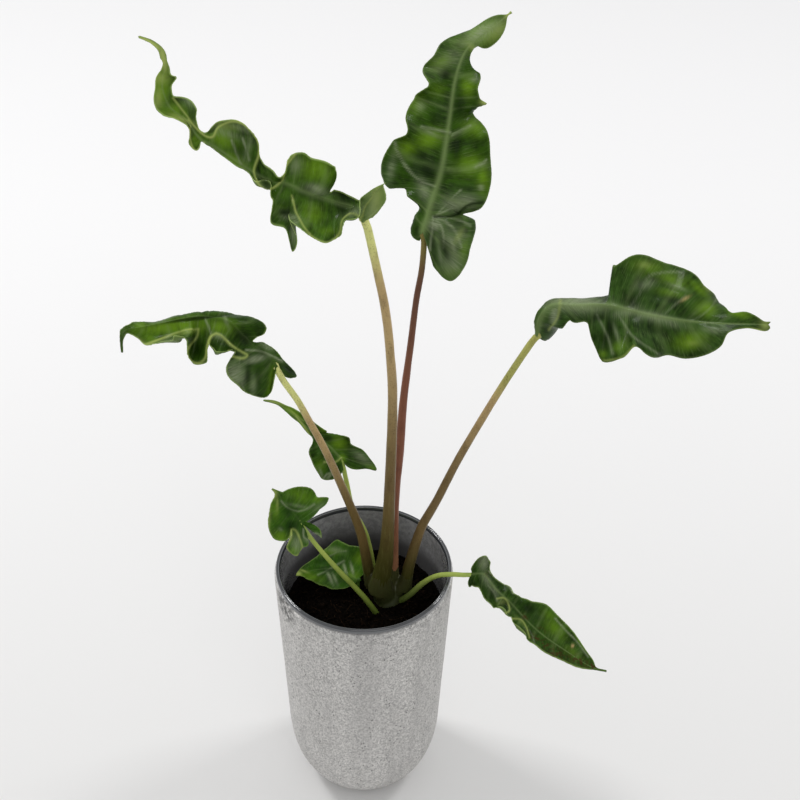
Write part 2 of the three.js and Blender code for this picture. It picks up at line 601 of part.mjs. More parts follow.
// Pot: straight tapered wall, round shoulder, flat foot
function pot() {
  const arc = (r0, r1, z0, z1, steps) => Array.from({ length: steps + 1 }, (_, k) => {
    const turn = (Math.PI / 2) * (k / steps);
    return [r0 + (r1 - r0) * Math.sin(turn), z1 - (z1 - z0) * Math.cos(turn)];
  });
  const outer = arc(POT_FOOT_RADIUS, POT_SHOULDER_RADIUS, 0, POT_SHOULDER_HEIGHT, OUTER_ARC_STEPS);
  const inner = arc(POT_FOOT_RADIUS - POT_WALL, POT_SHOULDER_RADIUS - POT_WALL,
    POT_FLOOR, POT_SHOULDER_HEIGHT, INNER_ARC_STEPS).reverse();
  const neck = LINER_NECK_RADIUS + LINER_WALL + CLEARANCE;
  return turned([
    [0, 0],
    ...outer,
    [POT_RIM_RADIUS, POT_HEIGHT - RIM_EDGE_DOWN],
    [POT_RIM_RADIUS - RIM_EDGE_IN, POT_HEIGHT],
    [neck, POT_HEIGHT],
    [neck, LINER_NECK_HEIGHT + LEDGE_ABOVE],
    [neck - LINER_STEP, LINER_NECK_HEIGHT - LEDGE_BELOW],
    ...inner,
    [0, POT_FLOOR],
  ], POT_SIDES);
}

// Inside of the liner, from its floor up to its step, at a height
function linerRadius(height) {
  const share = (height - LINER_FLOOR_HEIGHT) / (LINER_NECK_HEIGHT - LINER_FLOOR_HEIGHT);
  return THREE.MathUtils.lerp(LINER_FLOOR_RADIUS, LINER_NECK_RADIUS - LINER_STEP, share);
}

// Liner: tapered cup with a stacking step, a rolled lip on the pot's rim and drain holes
function liner() {
  const lipFoot = POT_HEIGHT + CLEARANCE;
  const step = linerRadius(LINER_NECK_HEIGHT);
  const footRadius = LINER_FLOOR_RADIUS + LINER_WALL;
  const cup = turned([
    [0, LINER_FLOOR_HEIGHT - LINER_WALL],
    [footRadius - LINER_FOOT_EDGE, LINER_FLOOR_HEIGHT - LINER_WALL],
    [footRadius, LINER_FLOOR_HEIGHT + LINER_FOOT_EDGE / 2],
    [step + LINER_WALL, LINER_NECK_HEIGHT - OUTER_STEP_SLOPE],
    [LINER_NECK_RADIUS + LINER_WALL, LINER_NECK_HEIGHT + OUTER_STEP_SLOPE],
    [LINER_NECK_RADIUS + LINER_WALL, lipFoot],
    ...LIP_SECTION.map(([inward, rise]) => [LIP_RADIUS - inward, lipFoot + rise]),
    [LINER_NECK_RADIUS, lipFoot - LIP_UNDERCUT],
    [LINER_NECK_RADIUS, LINER_NECK_HEIGHT + STEP_SLOPE],
    [step, LINER_NECK_HEIGHT - STEP_SLOPE],
    [LINER_FLOOR_RADIUS, LINER_FLOOR_HEIGHT],
    [0, LINER_FLOOR_HEIGHT],
  ], POT_SIDES);
  const holes = Array.from({ length: DRAIN_HOLES }, (_, k) => {
    const turn = (2 * Math.PI * k) / DRAIN_HOLES;
    const centre = [DRAIN_CIRCLE * Math.cos(turn), DRAIN_CIRCLE * Math.sin(turn)];
    const low = LINER_FLOOR_HEIGHT - DRAIN_REACH;
    const high = LINER_FLOOR_HEIGHT + DRAIN_REACH;
    return turned([[0, low], [DRAIN_RADIUS, low], [DRAIN_RADIUS, high], [0, high]], DRAIN_SIDES, centre);
  });
  return cup.subtract(add(holes));
}

// Soil plug inside the liner, a little higher round the stem, before its holes are made
function soil() {
  const edge = SOIL_HEIGHT - SOIL_RISE;
  const foot = LINER_FLOOR_HEIGHT + CLEARANCE;
  return turned([
    [0, foot],
    [linerRadius(foot) - 2 * CLEARANCE, foot],
    [linerRadius(edge) - 2 * CLEARANCE, edge],
    ...SOIL_SECTION.map(([share, fall]) => [linerRadius(edge) * share, SOIL_HEIGHT - SOIL_RISE * fall]),
    [0, SOIL_HEIGHT],
  ], POT_SIDES);
}

const stalkPaths = {};
for (const [name, leaf] of Object.entries(LEAVES)) {
  stalkPaths[name] = new Path([...leaf.stalk, leaf.midrib[0]]);
}

// Corm with its roots and the sheath bases of the long stalks, grown as one piece
function stemBase(extra = 0) {
  const [x, y] = CORM_CENTRE;
  const high = CORM_TOP + extra;
  const low = CORM_BOTTOM - extra;
  const profile = [[0, low]];
  for (let k = 1; k < CORM_RINGS; k++) {
    const turn = (Math.PI * k) / CORM_RINGS;
    const radius = (CORM_RADIUS + extra) * Math.sin(turn) ** CORM_FULLNESS;
    profile.push([radius, (high + low) / 2 - ((high - low) / 2) * Math.cos(turn)]);
  }
  profile.push([0, high]);
  const pieces = [turned(profile, CORM_SIDES, CORM_CENTRE)];
  for (let k = 0; k < ROOT_COUNT; k++) {
    const turn = (2 * Math.PI * (k + ROOT_TURN)) / ROOT_COUNT;
    const reach = ROOT_REACH[k % ROOT_REACH.length];
    const drop = ROOT_DROP[k % ROOT_DROP.length];
    const root = new Path([0, 0.35, 0.7, 1].map((t) => [
      x + reach * t * Math.cos(turn + ROOT_CURL * t),
      y + reach * t * Math.sin(turn + ROOT_CURL * t),
      ROOT_START - drop * t ** ROOT_SAG,
    ]));
    pieces.push(tube(root, ROOT_RADII, { steps: 4, sides: 5, extra }));
  }
  for (const [name, share] of Object.entries(SHEATHED)) {
    const leaf = LEAVES[name];
    const path = stalkPaths[name];
    pieces.push(tube(path, leaf.thickness, { to: share, steps: 3, extra }));
    const foot = path.at(share * SHEATH_FOOT);
    const heart = new THREE.Vector3(x, y, CORM_HEART);
    const between = foot.clone().lerp(heart, SHEATH_SINK);
    const sunk = new Path([heart, between, foot].map((point) => point.toArray()));
    const radius = leaf.thickness[0] * SHEATH_TAPER;
    pieces.push(tube(sunk, [radius, radius], { steps: 3, extra }));
  }
  return mainBody(add(pieces));
}

// Stalk of a leaf, from the stem base or the soil to just short of the blade
function stalk(name, extra = 0) {
  const leaf = LEAVES[name];
  const path = stalkPaths[name];
  const long = name in SHEATHED;
  return tube(path, leaf.thickness, {
    from: long ? SHEATHED[name] + CLEARANCE / path.length : 0,
    to: 1 - leaf.stop / path.length,
    steps: long ? STALK_STEPS : SMALL_STALK_STEPS,
    sides: long ? STALK_SIDES : SMALL_STALK_SIDES,
    extra,
  });
}

const solids = {};
const base = stemBase();
const baseRoom = stemBase(CLEARANCE);
for (const [name, leaf] of Object.entries(LEAVES)) {
  const number = name.split('_')[1];
  solids[`blade_${number}`] = blade(leaf, COLUMNS[name]);
  const stem = stalk(name);
  solids[`petiole_${number}`] = name in SHEATHED ? stem : mainBody(stem.subtract(baseRoom));
}
solids.stem_base = base;
const holes = Object.keys(LEAVES).filter((name) => !(name in SHEATHED)).map((name) => stalk(name, CLEARANCE));
solids.soil = mainBody(soil().subtract(add([baseRoom, ...holes])));
solids.liner = liner();
solids.pot = pot();

const finishes = {
  pot: new THREE.MeshStandardMaterial({ color: 0xadadaa, roughness: 0.95, metalness: 0 }),
  liner: new THREE.MeshStandardMaterial({ color: 0x8d9192, roughness: 0.2, metalness: 0 }),
  soil: new THREE.MeshStandardMaterial({ color: 0x17110d, roughness: 1, metalness: 0 }),
  stem_base: new THREE.MeshStandardMaterial({ color: 0x3c4018, roughness: 0.6, metalness: 0 }),
  petiole: new THREE.MeshStandardMaterial({ color: 0x766b2f, roughness: 0.5, metalness: 0 }),
  blade: new THREE.MeshStandardMaterial({ color: 0x2f5a1c, roughness: 0.4, metalness: 0 }),
};

const plant = new THREE.Group();
for (const name of ['pot', 'liner', 'soil', 'stem_base']) {
  plant.add(new THREE.Mesh(toGeometry(solids[name]), finishes[name]));
  plant.children.at(-1).name = name;
}
for (const kind of ['petiole', 'blade']) {
  for (let number = 1; number <= Object.keys(LEAVES).length; number++) {
    const name = `${kind}_${number}`;
    const mesh = new THREE.Mesh(toGeometry(solids[name]), finishes[kind]);
    mesh.name = name;
    plant.add(mesh);
  }
}

export default plant;
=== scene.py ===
# %% [markdown]
# # A potted alocasia
# A young alocasia stands in dark soil, in a thin grey grow liner whose lip rests on a concrete pot.
# It could be sculpted by hand, but each leaf is a strip of ribs along a midrib, so a short list of measured
# ribs makes the whole curled blade, and the same list can be made fine for the render.
# The fixed frame holds the plain solids in metres; every piece below stands for one of them.

# %% Load the frame
import math

import bpy
import numpy as np
from mathutils import Matrix, Vector, noise


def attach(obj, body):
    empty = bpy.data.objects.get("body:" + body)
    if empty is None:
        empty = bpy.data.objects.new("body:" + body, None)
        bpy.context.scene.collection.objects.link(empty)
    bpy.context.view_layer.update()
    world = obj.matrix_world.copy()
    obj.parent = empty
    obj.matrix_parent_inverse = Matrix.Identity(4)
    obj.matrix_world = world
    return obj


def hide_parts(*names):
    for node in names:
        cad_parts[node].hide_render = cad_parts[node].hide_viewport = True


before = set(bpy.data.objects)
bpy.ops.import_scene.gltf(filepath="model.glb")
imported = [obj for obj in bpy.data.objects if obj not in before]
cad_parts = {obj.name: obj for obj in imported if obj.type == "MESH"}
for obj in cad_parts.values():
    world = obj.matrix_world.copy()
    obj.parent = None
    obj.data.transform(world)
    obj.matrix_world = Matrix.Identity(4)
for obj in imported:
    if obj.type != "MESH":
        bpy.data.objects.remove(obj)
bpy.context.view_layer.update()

MM = 0.001
print("solids in the frame:", len(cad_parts))


# %% [markdown]
# ## Camera
# The photo is taken from above and in front with a longish lens, turned a touch about its own axis.
# A camera could be aimed with a constraint, but the view is fixed, so its place is written down as measured:
# a target in the plant, a distance, a tilt and a roll.

# %% Camera at the photo's view
CAMERA_TARGET = Vector((23.7, 0, 361)) * MM
CAMERA_DISTANCE = 1.035
CAMERA_TILT = math.radians(39.5)
CAMERA_ROLL = math.radians(0.9)
CAMERA_LENS = 72
CAMERA_NEAR = 0.01
SENSOR = 36
PHOTO_SIDE = 800


def make_camera():
    forward = Vector((0, math.cos(CAMERA_TILT), -math.sin(CAMERA_TILT)))
    level_right = Vector((1, 0, 0))
    level_up = level_right.cross(forward)
    right = math.cos(CAMERA_ROLL) * level_right + math.sin(CAMERA_ROLL) * level_up
    up = math.cos(CAMERA_ROLL) * level_up - math.sin(CAMERA_ROLL) * level_right
    data = bpy.data.cameras.new("camera")
    data.lens = CAMERA_LENS
    data.sensor_width = SENSOR
    data.clip_start = CAMERA_NEAR
    camera = bpy.data.objects.new("camera", data)
    turn = Matrix((right, up, -forward)).transposed().to_4x4()
    camera.matrix_world = Matrix.Translation(CAMERA_TARGET - CAMERA_DISTANCE * forward) @ turn
    bpy.context.scene.collection.objects.link(camera)
    bpy.context.scene.camera = camera
    return camera


def photo_place(points_mm):
    """Where points in millimetres fall in the photo, in its pixels."""
    turn = np.array(camera.matrix_world.to_3x3())
    seen = (np.asarray(points_mm) * MM - np.array(camera.location)) @ turn
    scale = PHOTO_SIDE * CAMERA_LENS / SENSOR / -seen[..., 2]
    return PHOTO_SIDE / 2 + scale * seen[..., 0], PHOTO_SIDE / 2 - scale * seen[..., 1]


camera = make_camera()
print("camera at", [round(value, 3) for value in camera.location])


# %% [markdown]
# ## Light
# The photo has a white surround, soft light and little shadow. Many lamps could do it; a bright world with
# one area lamp at each side behind and a larger one in front gives the same soft glints with less to tune.

# %% Studio
WORLD_WHITE = (0.95, 0.95, 0.955)
WORLD_STRENGTH = 0.63
LAMPS = {
    "left": {"place": (-1.5, 0.9, 2.3), "aim": (0, 0.3, 0.2), "size": 0.6, "power": 27},
    "right": {"place": (1.6, 0.9, 2.2), "aim": (0, 0.3, 0.2), "size": 0.6, "power": 16},
    "front": {"place": (0.4, -2.2, 2.2), "aim": (0, 0, 0.3), "size": 2.0, "power": 12},
}


def make_studio():
    scene = bpy.context.scene
    scene.view_settings.view_transform = "Standard"
    world = bpy.data.worlds.new("studio")
    world.use_nodes = True
    background = world.node_tree.nodes["Background"]
    background.inputs["Color"].default_value = (*WORLD_WHITE, 1)
    background.inputs["Strength"].default_value = WORLD_STRENGTH
    scene.world = world
    for name, lamp in LAMPS.items():
        data = bpy.data.lights.new(name, "AREA")
        data.size = lamp["size"]
        data.energy = lamp["power"]
        light = bpy.data.objects.new(name, data)
        light.location = lamp["place"]
        aim = Vector(lamp["aim"]) - light.location
        light.rotation_euler = aim.to_track_quat("-Z", "Y").to_euler()
        scene.collection.objects.link(light)


make_studio()
print("lamps:", ", ".join(LAMPS))


# %% [markdown]
# ## Small helpers for meshes and shaders
# Every piece here is a grid of points that is bent into shape, so one function turns grids into meshes.
# The shader helpers make nodes and wire them, so that a material reads as a short recipe.

# %% Mesh helpers
MARK_KINDS = {1: ("FLOAT", "value"), 3: ("FLOAT_VECTOR", "vector"), 4: ("FLOAT_COLOR", "color")}


def add_mark(mesh, label, values):
    """Stores one, three or four numbers at each point of a mesh, for its material to read."""
    values = np.asarray(values, np.float32)
    kind, field = MARK_KINDS[1 if values.ndim == 1 else values.shape[1]]
    mesh.attributes.new(label, kind, "POINT").data.foreach_set(field, values.ravel())


def shade(mesh, smooth):
    mesh.polygons.foreach_set("use_smooth", [smooth] * len(mesh.polygons))


def make_piece(name, points, faces, material, node, slot, marks=None):
    """A smooth mesh from points in millimetres; it stands for a solid of the frame."""
    mesh = bpy.data.meshes.new(name)
    mesh.from_pydata((np.asarray(points) * MM).tolist(), [], faces)
    mesh.validate()
    shade(mesh, True)
    for label, values in (marks or {}).items():
        add_mark(mesh, label, values)
    piece = bpy.data.objects.new(name, mesh)
    bpy.context.scene.collection.objects.link(piece)
    mesh.materials.append(material)
    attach(piece, "root")
    if node:
        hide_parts(node)
    return piece


def grid_faces(rows, columns, closed=False, start=0, flip=False):
    """Quads over a grid of points; a closed grid joins its last column to its first."""
    faces = []
    for i in range(rows - 1):
        for j in range(columns if closed else columns - 1):
            k = (j + 1) % columns
            a, b = start + i * columns + j, start + i * columns + k
            quad = (a, b, b + columns, a + columns)
            faces.append(quad[::-1] if flip else quad)
    return faces


def end_faces(rows, around):
    """One face over the first ring of a closed grid and one over its last."""
    return [tuple(range(around))[::-1], tuple(range((rows - 1) * around, rows * around))]


def join(points, faces, more_points, more_faces):
    """Adds one form to lists of points and faces that hold others."""
    start = len(points)
    points.extend(more_points)
    faces.extend([tuple(start + index for index in face) for face in more_faces])


def full_turn(count):
    return np.linspace(0, 2 * np.pi, count, endpoint=False)


print("kinds of mark on a mesh:", len(MARK_KINDS))

# %% Shader helpers
GROUP_OUTPUTS = {"Colour": "Color", "Roughness": "Float", "Height": "Float"}


def feed(tree, socket, value):
    """Wires a socket to another socket, or gives it a number, or a colour of three numbers."""
    if isinstance(value, bpy.types.NodeSocket):
        tree.links.new(value, socket)
    else:
        socket.default_value = (*value, 1) if isinstance(value, tuple) else value


def new_group(name, inputs):
    """A shader node group; each input's value, a colour or a number, also tells its kind."""
    tree = bpy.data.node_groups.new(name, "ShaderNodeTree")
    for label, value in inputs.items():
        kind = "NodeSocketColor" if isinstance(value, tuple) else "NodeSocketFloat"
        feed(tree, tree.interface.new_socket(label, in_out="INPUT", socket_type=kind), value)
    for label, kind in GROUP_OUTPUTS.items():
        tree.interface.new_socket(label, in_out="OUTPUT", socket_type="NodeSocket" + kind)
    return tree, tree.nodes.new("NodeGroupInput").outputs, tree.nodes.new("NodeGroupOutput").inputs


def new_node(tree, kind, *values, **settings):
    """A shader node with its settings made and its first inputs fed."""
    node = tree.nodes.new("ShaderNode" + kind)
    for label, value in settings.items():
        setattr(node, label, value)
    for socket, value in zip(node.inputs, values):
        feed(tree, socket, value)
    return node


def mark(tree, name, output="Fac"):
    """Reads a value that the mesh carries at its points."""
    return new_node(tree, "Attribute", attribute_name=name).outputs[output]


def parts(tree, vector):
    return new_node(tree, "SeparateXYZ", vector).outputs


def mix(tree, amount, low, high):
    node = new_node(tree, "Mix", amount, data_type="RGBA")
    feed(tree, node.inputs[6], low)
    feed(tree, node.inputs[7], high)
    return node.outputs[2]


def lay(tree, colour, given, steps):
    """Lays colours over each other; each step is a mask and the label of the colour that it shows."""
    for mask, label in steps:
        colour = mix(tree, mask, colour, given[label])
    return colour


def sums(tree, kind, first, second=0.5):
    return new_node(tree, "Math", first, second, operation=kind).outputs[0]


def times(tree, first, second):
    return sums(tree, "MULTIPLY", first, second)


def plus(tree, first, second):
    return sums(tree, "ADD", first, second)


def span(tree, value, low, high, to_low=0.0, to_high=1.0):
    """Maps a range of values softly to another range."""
    node = new_node(tree, "MapRange", value, low, high, to_low, to_high, interpolation_type="SMOOTHSTEP")
    return node.outputs[0]


def place(tree, stretch=(1, 1, 1), source=None):
    """The point on the object, in metres, stretched along its axes."""
    if source is None:
        source = new_node(tree, "TexCoord").outputs["Object"]
    node = new_node(tree, "VectorMath", source, operation="MULTIPLY")
    node.inputs[1].default_value = stretch
    return node.outputs[0]


def grain(tree, scale, detail, rough=0.55, **where):
    node = new_node(tree, "TexNoise", place(tree, **where))
    for label, value in {"Scale": scale, "Detail": detail, "Roughness": rough}.items():
        feed(tree, node.inputs[label], value)
    return node.outputs["Fac"]


def specks(tree, scale, output="Distance", **where):
    """Distance to the nearest of many scattered points, or a random value for each point."""
    node = new_node(tree, "TexVoronoi", place(tree, **where))
    feed(tree, node.inputs["Scale"], scale)
    return node.outputs[output]


def new_material(name, tree, values, bump, **shader):
    """A material whose colour, roughness and height come from one node group."""
    material = bpy.data.materials.new(name)
    material.use_nodes = True
    nodes = material.node_tree
    principled = nodes.nodes["Principled BSDF"]
    group = nodes.nodes.new("ShaderNodeGroup")
    group.node_tree = tree
    for label, value in values.items():
        feed(nodes, group.inputs[label], value)
    for label, value in shader.items():
        principled.inputs[label.replace("_", " ")].default_value = value
    relief = nodes.nodes.new("ShaderNodeBump")
    relief.inputs["Strength"].default_value, relief.inputs["Distance"].default_value = bump
    nodes.links.new(group.outputs["Colour"], principled.inputs["Base Color"])
    nodes.links.new(group.outputs["Roughness"], principled.inputs["Roughness"])
    nodes.links.new(group.outputs["Height"], relief.inputs["Height"])
    nodes.links.new(relief.outputs["Normal"], principled.inputs["Normal"])
    return material


print("a group gives:", ", ".join(GROUP_OUTPUTS))


# %% [markdown]
# ## Floor
# The sheet of white paper is a little darker near the camera, painted shade where the lamps' light falls
# off. A lamp's falloff could do that, but a slow change of colour along the floor stays the same when the
# lamps are moved.

# %% Floor
FLOOR_WHITE = (0.87, 0.868, 0.87)
# FLOOR_NEAR_PAINTED_SHADE is the painted shade of the floor near the camera.
FLOOR_NEAR_PAINTED_SHADE = (0.71, 0.705, 0.695)
FLOOR_HALF = 20000
FLOOR_LEVEL = -0.5
FLOOR_ROUGHNESS = 0.6
PAINTED_SHADE_CURVE = (-0.5, 0.9)


def make_floor():
    corners = [(x * FLOOR_HALF * MM, y * FLOOR_HALF * MM, FLOOR_LEVEL * MM)
               for x, y in ((-1, -1), (1, -1), (1, 1), (-1, 1))]
    mesh = bpy.data.meshes.new("floor")
    mesh.from_pydata(corners, [], [(0, 1, 2, 3)])
    material = bpy.data.materials.new("floor")
    material.use_nodes = True
    tree = material.node_tree
    principled = tree.nodes["Principled BSDF"]
    depth = parts(tree, place(tree))["Y"]
    # Painted shade: the floor grows darker towards the camera.
    floor_with_painted_shade = mix(tree, span(tree, depth, *PAINTED_SHADE_CURVE), FLOOR_NEAR_PAINTED_SHADE, FLOOR_WHITE)
    feed(tree, principled.inputs["Base Color"], floor_with_painted_shade)
    principled.inputs["Roughness"].default_value = FLOOR_ROUGHNESS
    mesh.materials.append(material)
    floor = bpy.data.objects.new("floor", mesh)
    bpy.context.scene.collection.objects.link(floor)


make_floor()
print("floor laid")


# %% [markdown]
# ## The leaves' measures
# An alocasia leaf is a thin waxy blade with a strong midrib, back-pointing lobes at its base and a wavy
# edge. It could be modelled flat and bent, but these blades curl and twist so much that each is described
# where it stands: the stalk's line, the midrib's line, and ribs across it. Points are millimetres, angles
# degrees. A rib starts with its share of the midrib's length. Then each side has four numbers, the left side
# first: a width, a sweep towards the tip, and a lift at the midrib and at the margin. A tenth number, where
# there is one, rolls the rib about the midrib.

